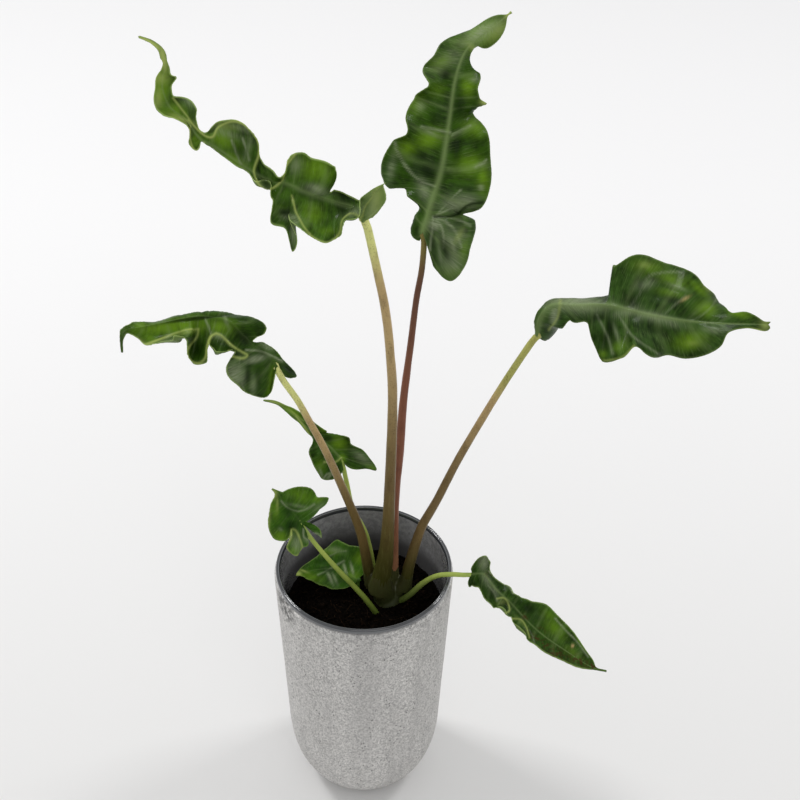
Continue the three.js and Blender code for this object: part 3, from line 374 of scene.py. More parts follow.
# %% Leaf tables
LEAVES = {
    "leaf_1": {
        "stalk": [[11, 2, 182], [16, -1, 230], [18, -6, 300], [19, -14, 372], [17, -19, 416],
                  [14, -23, 450], [9, -27, 482], [3, -30, 516]],
        "midrib": [[2, -30, 518], [-5, -28, 525], [-18, -24, 527], [-32, -20, 530], [-44, -16, 533],
                   [-57, -12, 534], [-70, -8, 541], [-84, -4, 549], [-93, 0, 552], [-100, 3, 561],
                   [-109, 6, 568], [-113, 9, 577], [-113, 12, 584], [-111, 14, 590], [-112, 16, 598],
                   [-118, 18, 603], [-126, 20, 605]],
        "thickness": [8, 4.9, 3.9, 3.4, 3.1, 2.8, 2.6, 2.4], "face": [[0, -0.5, 0.86], [0, -0.5, 0.86]],
        "ribs": [(0, 9, 0, 50, 70, 7, -5, 0, 20, 40), (0.015, 27, 20, 50, 80, 20, -10, 0, 20, 40),
                 (0.03, 33, 35, 50, 80, 18, 0, 10, 30, 40), (0.042, 36, 8, 50, 80, 11, -15, 10, 40, 40),
                 (0.052, 17, 0, 40, 80, 8, -20, 10, 50, 35), (0.06, 28, -20, 0, 60, 6, -20, 20, 60, 30),
                 (0.08, 22, -20, -10, 60, 6, -5, 20, 60, 15), (0.1, 30, -25, -10, 60, 7, 10, 20, 60, 10),
                 (0.13, 25, -30, -10, 20, 7, 0, 0, 30), (0.16, 30, -25, -10, 20, 7, -40, 20, 50),
                 (0.185, 30, -20, -10, 30, 27, -50, 30, 90), (0.21, 33, -20, -10, 50, 23, -30, 20, 60),
                 (0.235, 31, -15, -10, 60, 20, 0, 0, 30), (0.25, 22, -15, -10, 40, 21, 10, 0, 40),
                 (0.26, 30, -30, -10, -10, 20, 15, 0, 50), (0.268, 38, -26, -10, -30, 19, 15, 0, 60),
                 (0.277, 26, -20, -10, -20, 17, 15, 0, 70), (0.287, 24, 0, -10, -20, 13, 5, 10, 90),
                 (0.302, 13, 0, -10, 10, 8, -40, 20, 90), (0.317, 15, -10, -10, 70, 7, -85, 30, 80),
                 (0.333, 17, -30, -20, 130, 6, -65, 30, 60), (0.352, 16, -20, -20, 140, 7, -10, 20, 50),
                 (0.375, 14, -15, -20, 120, 8, 5, 20, 50), (0.4, 4, -15, -20, 80, 11, 10, 20, 50),
                 (0.425, 2, -20, -10, 20, 19, 10, 10, 80), (0.455, 3, -30, -10, 0, 24, 15, 10, 90),
                 (0.5, 2.5, -30, -10, 0, 23, 15, 10, 80), (0.54, 1.5, 0, -10, -10, 16, 15, 10, 60),
                 (0.565, 1, 0, -10, 0, 10, 10, 10, 40), (0.59, 1, -50, -10, 0, 5, 5, 0, 40),
                 (0.61, 9, -55, -20, -10, 4, 30, 0, 30), (0.63, 8, -40, -30, 10, 7, 40, 0, 20),
                 (0.655, 4, -45, -20, 100, 10, 20, 0, 20), (0.69, 6, 5, 10, 70, 11, 10, 10, 30),
                 (0.73, 7, -10, 0, 30, 7, 40, 10, 30), (0.78, 9, -40, 0, 30, 6, 20, 0, 30),
                 (0.815, 6.5, -55, 0, 20, 9, 20, 0, 20), (0.845, 5, -50, 0, 20, 4, 15, 0, 20),
                 (0.875, 2, -30, 0, 20, 1, 5, 0, 20), (0.9, 3, -10, 0, 20, 1, -15, 0, 20),
                 (0.94, 1.8, -10, 0, 20, 1.2, -40, 0, 20), (1, 1.2, -50, 0, 20, 1.2, -50, 0, 20)],
    },
    "leaf_2": {
        "stalk": [[20, 10, 189], [21, 13, 260], [24, 15, 305], [26, 18, 346], [30, 21, 390], [33, 23, 424],
                  [36, 25, 446], [37, 27, 465]],
        "midrib": [[36, 28, 472], [40, 38, 483], [47, 56, 500], [51, 74, 520], [55, 92, 544],
                   [62, 104, 558], [76, 114, 566], [89, 120, 575]],
        "thickness": [4.6, 3.7, 3.3, 3, 2.6, 2.2, 2, 1.8], "face": [[0.05, -0.8, 0.5], [0.1, -0.75, 0.6]],
        "ribs": [(0, 6, -90, -10, -60, 22, -55, 0, -20), (0.01, 12, 0, -10, -90, 36, -45, 0, -20),
                 (0.03, 13, 25, -10, -90, 38, -30, 0, -30), (0.05, 10, 50, -10, -40, 34, -10, 0, -30),
                 (0.1, 16, 15, -10, -30, 37, 10, -10, -50), (0.15, 21, 5, -10, -50, 24, -5, -10, -40),
                 (0.19, 35, -10, -10, -60, 31, -5, 0, 10), (0.25, 42, -5, 10, -60, 32, 0, 10, 0),
                 (0.32, 34, 5, 10, -20, 30, 10, 10, -20), (0.39, 28, -5, 0, 40, 27, 20, 10, -20),
                 (0.46, 29, -5, 0, 30, 21, 30, -10, -50), (0.515, 24, 5, 0, -10, 19, 12, 0, -40),
                 (0.54, 23, 5, 0, -20, 25, 8, 0, -40), (0.565, 20, 0, 0, 0, 18, 5, 0, -20),
                 (0.61, 17, -10, 0, 30, 15, 0, 0, 20), (0.68, 23, -15, 0, -40, 15, 5, 0, -30),
                 (0.76, 21, -45, 0, 0, 7, -30, 0, -60), (0.84, 20, -55, 0, -30, 7, -55, 0, -60),
                 (0.91, 10, -40, 0, -40, 13, -50, 0, -20), (0.97, 1.5, 20, 0, 0, 1.5, 0, 0, 0),
                 (1, 0.8, 0, 0, 0, 0.8, 0, 0, 0)],
    },
    "leaf_3": {
        "stalk": [[29, 6, 180], [33, 6, 209], [40, 5, 242], [50, 4, 269], [63, 2, 308], [77, 0, 345],
                  [91, -3, 381], [104, -6, 412], [107, -7, 419]],
        "midrib": [[108, -7, 420], [109, -8, 435], [116, -4, 441], [131, 0, 438], [152, 4, 436],
                   [182, 10, 424], [220, 20, 412], [260, 30, 404]],
        "thickness": [4.6, 3.6, 3, 2.7, 2.5, 2.3, 2.2], "face": [[0, -0.45, 0.9], [0, -0.35, 0.95]],
        "ribs": [(0, 2, 45, -10, -60, 15, -55, -10, -60), (0.03, 5, 55, -10, -60, 25, -50, -10, -60),
                 (0.08, 7, 65, -10, -50, 18, -20, -10, -60), (0.16, 9, 40, -10, -30, 15, 50, -10, -40),
                 (0.25, 20, 50, -20, -40, 10, 10, -10, -40), (0.3, 25, 45, -30, -40, 16, -15, -20, -50),
                 (0.33, 46, 45, -30, -30, 28, -5, -20, -50), (0.36, 27, 5, 0, 20, 35, 0, -20, -40),
                 (0.42, 37, 5, 10, 20, 34, -5, -10, 0), (0.5, 43, 20, 10, 0, 36, -25, 0, 30),
                 (0.58, 43, 30, 10, 0, 24, 5, -10, -40), (0.66, 28, 35, 10, 30, 25, 20, -20, -50),
                 (0.74, 29, 45, 10, -30, 19, 30, 0, -20), (0.82, 11, 40, 10, 0, 7, 20, 0, 0),
                 (0.91, 8, 15, 20, 40, 3, 20, 0, -20), (0.97, 3, 50, 20, 60, 6, 50, 0, -60),
                 (1, 2.5, 50, 20, 60, 3, 40, 0, -60)],
    },
    "leaf_4": {
        "stalk": [[5, 10, 178], [1, 9, 210], [-3, 8, 236], [-11, 7, 265], [-25, 5, 310], [-36, 4, 339],
                  [-43, 3, 357], [-51, 1, 374], [-55, 0, 385]],
        "midrib": [[-55, 0, 387], [-60, 1, 395], [-69, 3, 400], [-76, 5, 408], [-85, 7, 417],
                   [-100, 9, 419], [-116, 11, 415], [-129, 13, 410], [-142, 15, 405], [-152, 17, 401],
                   [-156, 19, 392], [-157, 20, 381]],
        "thickness": [4.4, 3.5, 3.1, 2.8, 2.5, 2.2, 2.1], "face": [[0.1, -0.7, 0.7], [0, -0.7, 0.7]],
        "ribs": [(0, 4, -45, 0, 0, 6, -90, -10, -20), (0.015, 26, -60, -20, -30, 20, -80, -10, -40),
                 (0.03, 32, -55, -20, -30, 28, -70, -10, -40), (0.05, 31, -30, -20, -30, 18, -65, -10, -40),
                 (0.08, 28, 5, -20, -20, 11, -65, -10, -40), (0.12, 26, 20, -10, -10, 10, -50, -10, -40),
                 (0.155, 22, 10, 0, 0, 8, -30, -10, -40), (0.18, 17, 0, -10, 10, 3, -40, 0, -30),
                 (0.205, 14, -10, -20, 30, 6, -50, 0, -20), (0.235, 14, -20, -20, 60, 12, -55, 0, -20),
                 (0.27, 23, -20, -20, 110, 20, -55, 0, -20), (0.3, 33, -10, -20, 110, 25, -55, 0, -40),
                 (0.33, 40, -5, -20, 110, 21, -55, -10, -60), (0.36, 33, -5, -20, 100, 16, -50, -30, -70),
                 (0.385, 23, 0, -20, 80, 12, -30, -40, -70), (0.4, 20, -5, -20, 50, 10, -20, -40, -70),
                 (0.413, 22, -5, -10, 20, 9, -10, -40, -70), (0.425, 28, -5, -10, 0, 8, -5, -40, -70),
                 (0.44, 30, 0, -20, 0, 8, -5, -40, -70), (0.46, 31, 10, -30, 10, 6, -5, -40, -70),
                 (0.478, 28, 15, -30, 10, 7, 0, -40, -70), (0.492, 24, 10, -20, 40, 7, 5, -40, -70),
                 (0.508, 22, -5, -10, 90, 7, 15, -40, -70), (0.545, 28, -10, -10, 120, 8, 35, -40, -70),
                 (0.59, 30, -20, -30, 120, 13, 55, -40, -70), (0.64, 23, -10, -30, 110, 13, 60, -40, -70),
                 (0.685, 16, 0, -20, 70, 10, 60, -40, -60), (0.73, 12, 15, -10, 20, 9, 50, -30, -50),
                 (0.77, 7, 15, 0, 0, 10, 50, -30, -40), (0.81, 4, 5, 0, 0, 5, 40, -20, -30),
                 (0.85, 2, 0, 0, 0, 6, 50, -20, -30), (0.89, 2, 45, 0, 0, 2.5, 15, -10, -20),
                 (0.94, 1.2, 40, 0, 0, 1.3, 30, -10, -20), (1, 0.7, 0, 0, 0, 0.7, 0, 0, 0)],
    },
    "leaf_5": {
        "stalk": [[8, 22.5, 162], [1, 29, 208], [-9, 34, 232], [-13, 40, 250], [-16, 44, 265]],
        "midrib": [[-17, 45, 269], [-25, 50, 276], [-36, 56, 282], [-47, 62, 290], [-61, 70, 297],
                   [-73, 75, 297]],
        "thickness": [3.4, 2.6, 2.1, 1.8, 1.6], "face": [[0, -0.6, 0.8], [0, -0.6, 0.8]],
        "ribs": [(0, 8, -60, -10, -20, 6, -95, -10, -20), (0.02, 14, -45, -10, -20, 21, -65, -10, -30),
                 (0.05, 19, -35, -10, -30, 35, -60, -10, -40), (0.09, 22, -25, -10, -30, 28, -50, -10, -30),
                 (0.14, 20, -15, -10, -20, 23, -45, -10, -20), (0.2, 16, 5, 0, 0, 17, -50, 0, 0),
                 (0.27, 13, 10, 10, 20, 20, -50, 10, 30), (0.33, 5, 0, 0, 0, 17, -50, 10, 30),
                 (0.38, 3, -20, 0, 0, 14, -50, 0, 20), (0.43, 3, -20, -10, -20, 12, -55, 0, 0),
                 (0.48, 2.5, -10, -10, -20, 15, -60, 0, 40), (0.55, 1.7, 10, -10, -10, 12, -60, 0, 50),
                 (0.64, 2, -5, 0, 0, 8, -50, 0, 40), (0.74, 1.6, -5, 0, 10, 5, -45, 0, 30),
                 (0.85, 1, -30, 0, 10, 3, -60, 0, 20), (1, 0.6, 0, 0, 0, 0.6, 0, 0, 0)],
    },
    "leaf_6": {
        "stalk": [[14, -10, 160], [1, -12, 188], [-20, -15, 223], [-33, -18, 248], [-40, -20, 264]],
        "midrib": [[-41, -20, 268], [-44, -19, 272], [-49, -17, 279], [-54, -15, 285], [-57, -13, 289],
                   [-61, -12, 292]],
        "thickness": [2.4, 2, 1.8, 1.6, 1.5], "face": [[0.1, -0.6, 0.8], [0, -0.6, 0.8]],
        "ribs": [(0, 6, -80, 0, 0, 17, -80, 30, 50), (0.02, 11, -75, 0, 0, 14, -60, 30, 50),
                 (0.04, 16, -70, 0, 0, 4, -35, 10, 10), (0.06, 18, -65, 0, 0, 17, -10, 0, 0),
                 (0.08, 19, -60, 0, -10, 21, -10, 0, 10), (0.11, 22, -55, 0, -10, 25, -5, 0, 10),
                 (0.14, 26, -50, 0, -10, 23, 0, 10, 0), (0.18, 22, -35, -10, 0, 20, 5, 20, -10),
                 (0.22, 15, -30, -10, 60, 20, 5, 20, -20), (0.27, 19, -30, -10, 30, 21, 5, 20, -30),
                 (0.33, 22, -20, -10, 30, 21, 10, 20, -30), (0.4, 23, -15, -10, 30, 19, 15, 20, -30),
                 (0.5, 21, -5, -10, 30, 15, 20, 20, -30), (0.62, 17, 0, -10, 40, 10, 25, 20, -20),
                 (0.75, 10, -5, -10, 50, 4, 35, 20, -10), (0.86, 3, 0, 0, 10, 2, -10, 5, 0),
                 (0.93, 1, 0, 0, 0, 1.2, -10, 0, 0), (1, 0.6, 0, 0, 0, 0.8, 0, 0, 0)],
    },
    "leaf_7": {
        "stalk": [[-2, 12, 154], [-4, 12, 165], [-5, 11, 174], [-5, 10, 182]],
        "midrib": [[-5, 10, 184], [-21, 16, 188], [-36, 14, 189], [-49, 8, 190]],
        "thickness": [2.2, 1.8, 1.6, 1.5], "face": [[0, -0.5, 0.86], [0, -0.5, 0.86]],
        "ribs": [(0, 4, 0, 0, 0, 3, -25, 0, 0), (0.03, 7, 10, 0, -10, 7, -30, 0, 0),
                 (0.07, 10, 10, 0, -10, 11, -10, 0, 0), (0.12, 12, 10, 0, -10, 18, -10, 0, -10),
                 (0.18, 14, 10, 0, -10, 23, -5, 0, -10), (0.26, 15, 10, 0, -10, 22, -5, 0, 0),
                 (0.33, 15, 20, 0, -10, 20, -5, 0, 10), (0.41, 15, 30, 0, -10, 21, -10, 0, 10),
                 (0.48, 14, 40, 0, -10, 22, -15, 0, 10), (0.57, 12, 50, 0, 0, 17, -20, 0, 10),
                 (0.67, 10, 55, 0, 0, 12, -20, 0, 0), (0.79, 6, 60, 0, 0, 8, -25, 0, 0),
                 (0.9, 3, 65, 0, 0, 5, -20, 0, 10), (1, 0.8, 50, 0, 0, 0.8, -15, 0, 0)],
    },
    "leaf_8": {
        "stalk": [[22, 3, 160], [26, 1.5, 171], [33, -2, 182], [42, -5, 197], [51, -9, 208.5],
                  [61, -12, 213.5], [75, -15, 216]],
        "midrib": [[76, -15, 217], [84, -20, 222], [92, -26, 214], [103, -33, 207], [116, -42, 197],
                   [126, -50, 193], [141, -58, 187], [157, -66, 181], [168, -70, 181]],
        "thickness": [2.6, 2.4, 2.2, 2, 1.8, 1.7, 1.6], "face": [[0, -0.5, 0.86], [0.1, -0.5, 0.86]],
        "ribs": [(0, 4, -20, 0, 30, 2, -50, 0, 0), (0.02, 10, 20, 0, 40, 11, -45, -10, -20),
                 (0.05, 16, 45, 10, 40, 11, -45, -10, -20), (0.08, 11, 15, 10, 40, 10, 0, -10, -20),
                 (0.12, 7, -45, 10, 30, 11, 30, -10, -30), (0.17, 6, -45, 0, 20, 11, 25, -10, -20),
                 (0.23, 8, -25, 0, -30, 11, 10, -10, 20), (0.28, 10, -20, 0, -30, 18, 0, -10, 110),
                 (0.33, 8, -35, 0, 10, 18, 0, -10, 110), (0.38, 11, -25, 0, -40, 9, -5, -10, 60),
                 (0.44, 13, -30, 0, 20, 19, -5, -10, 110), (0.5, 17, -30, 10, 20, 17, 10, -10, 100),
                 (0.57, 21, -25, 10, -10, 10, 0, -10, 30), (0.65, 19, -20, 10, -10, 10, -5, 0, 20),
                 (0.74, 15, -15, 10, 0, 8, 0, 0, 20), (0.83, 10, -15, 10, 0, 6, 0, 0, 20),
                 (0.89, 7, -15, 0, 0, 3, 10, 0, 20), (0.93, 1.4, 25, 0, 0, 1.2, 0, 0, 0),
                 (1, 0.6, 0, 0, 0, 0.7, 0, 0, 0)],
    },
}
print("leaves:", len(LEAVES), "ribs:", sum(len(leaf["ribs"]) for leaf in LEAVES.values()))


# %% [markdown]
# ## Colour of the leaves
# The upper side is dark and waxy, with yellow-green patches where the blade is thin, a greyish bloom on the
# folds, and pale margins. The dark spots and lines are partly the blade's dark green and partly painted
# shade in its folds and curls; the bloom spots and lines are partly waxy bloom and partly painted highlights
# and glints. Painted pictures could hold that, but soft spots are easier to move, and noise breaks them up.
# Each spot is placed where it is seen in the photo: two pixel coordinates, its half length and half width in
# pixels, its turn in degrees and its strength. The spot then sits on the blade for every other view. A line
# has its kind, its half width in pixels, its strength and the pixels it runs through.

# %% Leaf spots
# Bloom spots are partly waxy bloom and partly painted highlights and glints on the wax.
# Dark spots are partly the blade's own dark green and partly painted shade in its folds and curls.
LEAF_SPOTS = {
    "leaf_1": {
        "bright": [(161, 88, 28, 9, 95, 0.9), (176, 110, 12, 8, 30, 0.8), (196, 140, 8, 8, 0, 0.6),
                   (222, 138, 16, 9, 30, 0.9), (236, 160, 12, 6, 40, 0.8), (314, 168, 20, 12, 15, 0.8),
                   (312, 214, 10, 10, 0, 0.7), (328, 232, 12, 4, 0, 0.4), (278, 210, 8, 6, 0, 0.4),
                   (376, 202, 6, 18, 10, 0.9)],
        "lime": [(163, 58, 14, 4, 80, 1), (150, 44, 16, 4, 30, 1), (160, 78, 9, 7, 0, 0.5),
                 (224, 125, 14, 4, 10, 0.3), (182, 120, 14, 3, 20, 0.55), (158, 98, 10, 4, 95, 0.5),
                 (376, 200, 6, 16, 10, 0.5)],
        "shade_and_dark_green": [(240, 152, 10, 8, 50, 0.6), (284, 212, 9, 5, 0, 1), (318, 200, 14, 4, 10, 0.5),
                 (176, 100, 4, 12, 60, 0.3), (266, 182, 9, 5, 50, 0.9), (342, 207, 9, 13, 10, 1),
                 (345, 195, 14, 6, 20, 1), (305, 192, 8, 7, 0, 0.7), (285, 205, 6, 6, 0, 0.6),
                 (332, 165, 6, 8, 0, 0.4), (268, 186, 8, 4, 30, 0.7)],
        "bloom_and_highlight": [(317, 190, 13, 5, 10, 0.8), (295, 165, 6, 8, 0, 0.6), (354, 213, 10, 5, -20, 0.6),
                  (295, 230, 5, 14, 0, 0.6), (290, 217, 12, 4, 20, 0.6), (247, 150, 3, 12, 20, 0.5),
                  (190, 100, 10, 6, 40, 0.5), (244, 128, 14, 4, 15, 0.4), (374, 205, 6, 16, 10, 0.9),
                  (225, 132, 20, 5, 20, 0.4)],
    },
    "leaf_2": {
        "bright": [(484, 34, 24, 10, -30, 1), (441, 62, 11, 7, -20, 0.9), (468, 88, 7, 10, 0, 0.9),
                   (428, 139, 14, 9, -20, 0.9), (407, 148, 10, 8, 0, 0.9), (474, 127, 12, 9, 20, 0.7),
                   (470, 165, 14, 10, 0, 0.7), (483, 178, 6, 16, 0, 0.7), (416, 104, 9, 12, 20, 0.5),
                   (463, 250, 5, 12, 10, 0.5), (452, 272, 9, 6, 0, 0.5), (437, 90, 10, 8, 0, 0.4)],
        "lime": [(498, 32, 14, 6, -45, 0.35), (509, 13, 6, 3, -60, 1), (485, 102, 5, 4, 0, 0.9),
                 (476, 52, 10, 3, 45, 0.5), (458, 236, 3, 8, 30, 0.3)],
        "shade_and_dark_green": [(446, 75, 7, 6, -50, 0.9), (460, 108, 7, 14, 0, 0.8), (426, 170, 13, 7, 15, 1),
                 (436, 118, 6, 8, 0, 0.5), (457, 150, 5, 18, 5, 0.7), (420, 158, 10, 5, 20, 0.6),
                 (445, 250, 4, 13, -20, 0.9), (433, 245, 3, 14, -5, 0.8), (398, 160, 7, 5, 0, 0.5),
                 (416, 230, 4, 9, 0, 0.8), (470, 190, 10, 3, 10, 0.6)],
        "bloom_and_highlight": [(482, 33, 22, 7, -30, 0.8), (452, 262, 12, 14, 0, 0.6), (450, 240, 16, 16, 0, 0.5),
                  (448, 60, 22, 10, -30, 0.35), (458, 203, 18, 8, -10, 0.85), (424, 190, 6, 13, -20, 0.55),
                  (392, 168, 4, 12, 10, 0.5), (435, 225, 8, 7, 0, 0.75), (452, 245, 3, 14, -20, 0.7),
                  (440, 255, 2.5, 14, -10, 0.5), (420, 107, 5, 5, 0, 0.45), (474, 80, 5, 3, 0, 0.5),
                  (480, 165, 6, 1.8, -20, 0.7), (481, 188, 3, 3, 0, 0.6), (430, 133, 6, 2, 20, 0.5)],
    },
    "leaf_3": {
        "bright": [(648, 267, 16, 8, 10, 0.6), (672, 280, 16, 7, 20, 0.65), (706, 309, 10, 8, 0, 0.9),
                   (690, 341, 15, 8, -10, 1), (669, 293, 12, 4, 10, 0.6), (620, 347, 8, 7, -20, 0.5),
                   (740, 314, 12, 4, 10, 0.7), (603, 354, 4, 4, 0, 0.7), (700, 290, 14, 4, 40, 0.6)],
        "lime": [(644, 265, 6, 3, 0, 0.3), (765, 325, 5, 6, 0, 0.6), (755, 330, 9, 1.5, 5, 1),
                 (707, 287, 6, 3, 45, 0.4), (692, 343, 6, 3, 0, 0.25)],
        "shade_and_dark_green": [(610, 328, 4, 13, -10, 1), (655, 330, 14, 6, 15, 0.6), (600, 318, 8, 4, 0, 0.6),
                 (634, 300, 12, 5, -40, 0.7), (547, 328, 7, 8, 0, 0.6), (540, 342, 6, 6, 0, 0.5),
                 (655, 295, 9, 6, 0, 0.5), (640, 350, 8, 3, 10, 0.4), (690, 318, 16, 4, 10, 0.4),
                 (605, 340, 4, 8, 0, 0.7)],
        "bloom_and_highlight": [(575, 304, 30, 8, 5, 0.8), (554, 316, 4, 9, 10, 0.8), (645, 285, 9, 5, -20, 0.5),
                  (626, 312, 14, 5, -10, 0.5), (655, 318, 26, 5, 15, 0.55), (678, 288, 10, 2, 20, 0.4),
                  (616, 333, 2, 10, -20, 0.6), (712, 330, 12, 4, 5, 0.4)],
        "dry": [(685, 299, 5, 1.2, -30, 0.7)],
    },
    "leaf_4": {
        "bright": [(170, 327, 32, 7, -6, 1), (221, 327, 13, 9, 0, 0.8), (195, 325, 16, 8, 0, 0.7),
                   (142, 326, 9, 4, 0, 0.7), (271, 380, 3, 15, 10, 0.7), (150, 338, 8, 6, 30, 0.5)],
        "lime": [(143, 343, 6, 2.5, 50, 0.3), (187, 333, 12, 1.8, -15, 0.3)],
        "shade_and_dark_green": [(198, 318.5, 36, 1.8, -7, 0.9), (236, 316, 12, 4, 15, 0.5), (244, 338, 9, 8, 0, 0.9),
                 (259, 328, 8, 8, 0, 0.6), (197, 350, 5, 9, 0, 0.8), (228, 349, 9, 7, 20, 0.7),
                 (290, 370, 8, 3, 30, 0.9), (248, 374, 3, 14, 0, 0.7), (259, 378, 3, 14, 0, 0.5),
                 (213, 345, 4, 10, 0, 0.6), (262, 352, 8, 3, 40, 0.6)],
        "bloom_and_highlight": [(236, 374, 10, 12, 0, 0.8), (255, 359, 13, 3.5, -15, 0.9), (267, 347, 7, 4, 30, 0.6),
                  (172, 343, 16, 3, -10, 0.6), (219, 337, 6, 3, 20, 0.6), (253, 385, 4, 10, 0, 0.5),
                  (226, 321, 2, 7, -20, 0.5)],
    },
    "leaf_5": {
        "bright": [(292, 411, 13, 4, 35, 0.8), (324, 430, 6, 3, 20, 0.7), (339, 443, 8, 7, 0, 0.95),
                   (320, 466, 5, 8, 0, 0.55), (342, 458, 4, 4, 0, 0.6), (300, 424, 10, 3, 40, 0.6),
                   (372, 468, 6, 3, 30, 0.4)],
        "lime": [(275, 402, 12, 2, 15, 0.5), (296, 415, 10, 1.2, 40, 0.5)],
        "shade_and_dark_green": [(328, 439, 6, 5, 0, 0.7), (313, 447, 5, 8, 0, 0.6), (336, 470, 5, 5, 0, 0.7),
                 (349, 438, 2.5, 7, 0, 0.6)],
        "bloom_and_highlight": [(361, 457, 11, 4, 35, 0.5), (330, 475, 2, 6, 40, 0.8), (321, 473, 1.6, 5, -20, 0.6)],
    },
    "leaf_6": {
        "bright": [(300, 495, 13, 8, 20, 0.55), (281, 537, 10, 6, 20, 0.7), (294, 550, 5, 4, 0, 0.6),
                   (275, 510, 4, 10, 0, 0.5), (318, 500, 6, 3, -10, 0.5)],
        "lime": [(268, 522, 2, 20, 5, 0.4), (273, 494, 4, 5, 0, 0.8), (277, 503, 1.5, 8, 0, 0.4)],
        "shade_and_dark_green": [(289, 512, 7, 6, 0, 0.8), (291, 526, 8, 6, 0, 1), (314, 537, 7, 3, 5, 0.7),
                 (297, 517, 6, 4, 30, 0.5), (283, 528, 6, 3, 20, 0.7)],
        "bloom_and_highlight": [(296, 543, 5, 10, -10, 0.65), (308, 540, 6, 3, 20, 0.5), (318, 507, 8, 4, -30, 0.35),
                  (281, 529, 2.5, 2, 0, 0.6), (298, 506, 14, 2, 10, 0.35)],
    },
    "leaf_7": {
        "bright": [(308, 578, 13, 5, 10, 0.7), (360, 558, 6, 6, 0, 0.8), (352, 576, 9, 5, 0, 0.5),
                   (331, 552, 9, 4, 0, 0.4), (319, 586, 10, 3, 15, 0.5)],
        "lime": [(298, 574, 3, 3, 0, 1), (303, 571, 5, 1.2, 20, 0.6)],
        "shade_and_dark_green": [(323, 561, 9, 4, -20, 0.8), (325, 570, 9, 3, 0, 0.7), (345, 583, 8, 4, 0, 0.6),
                 (366, 570, 3, 8, 0, 0.5)],
        "bloom_and_highlight": [(330, 578, 1.8, 7, -25, 0.9), (335, 579, 1.6, 6, -25, 0.7), (345, 569, 1.5, 6, -15, 0.9),
                  (352, 569, 1.5, 6, -15, 0.8), (335, 550, 8, 3, 10, 0.4)],
    },
    "leaf_8": {
        "bright": [(555, 629, 14, 8, 50, 0.5), (549, 616, 10, 6, 40, 0.35), (572, 652, 12, 4, 35, 0.4),
                   (580, 640, 12, 3, 60, 0.5)],
        "lime": [(503, 602, 6, 2.5, -20, 0.2), (521, 622, 9, 2, 45, 0.2), (527, 632, 4, 2, 60, 0.2)],
        "shade_and_dark_green": [(528, 609, 8, 6, 20, 0.9), (501, 583, 9, 4, 45, 0.7), (507, 604, 5, 3, 0, 0.6),
                 (492, 596, 5, 8, -20, 0.5), (472, 585, 6, 4, 0, 0.7), (518, 612, 10, 3, 45, 0.5),
                 (536, 618, 9, 4, 40, 0.4)],
        "bloom_and_highlight": [(484, 562, 5, 9, 0, 0.75), (487, 580, 4, 10, -25, 0.55), (494, 590, 3, 8, -30, 0.5)],
        "brown": [(535, 638, 5, 3, 30, 1), (545, 644, 5, 4, 40, 0.8), (557, 654, 15, 5, 35, 0.7),
                  (579, 661, 11, 4, 25, 0.8), (592, 666, 6, 2.5, 20, 1), (525, 617, 4, 3, 40, 0.7),
                  (542, 630, 5, 2, 40, 0.5), (489, 574, 4, 3, 0, 0.5)],
        "dry": [(572.5, 646, 1.8, 1.1, -60, 1)],
    },
}
print("leaf spots:", sum(len(spots) for leaf in LEAF_SPOTS.values() for spots in leaf.values()))
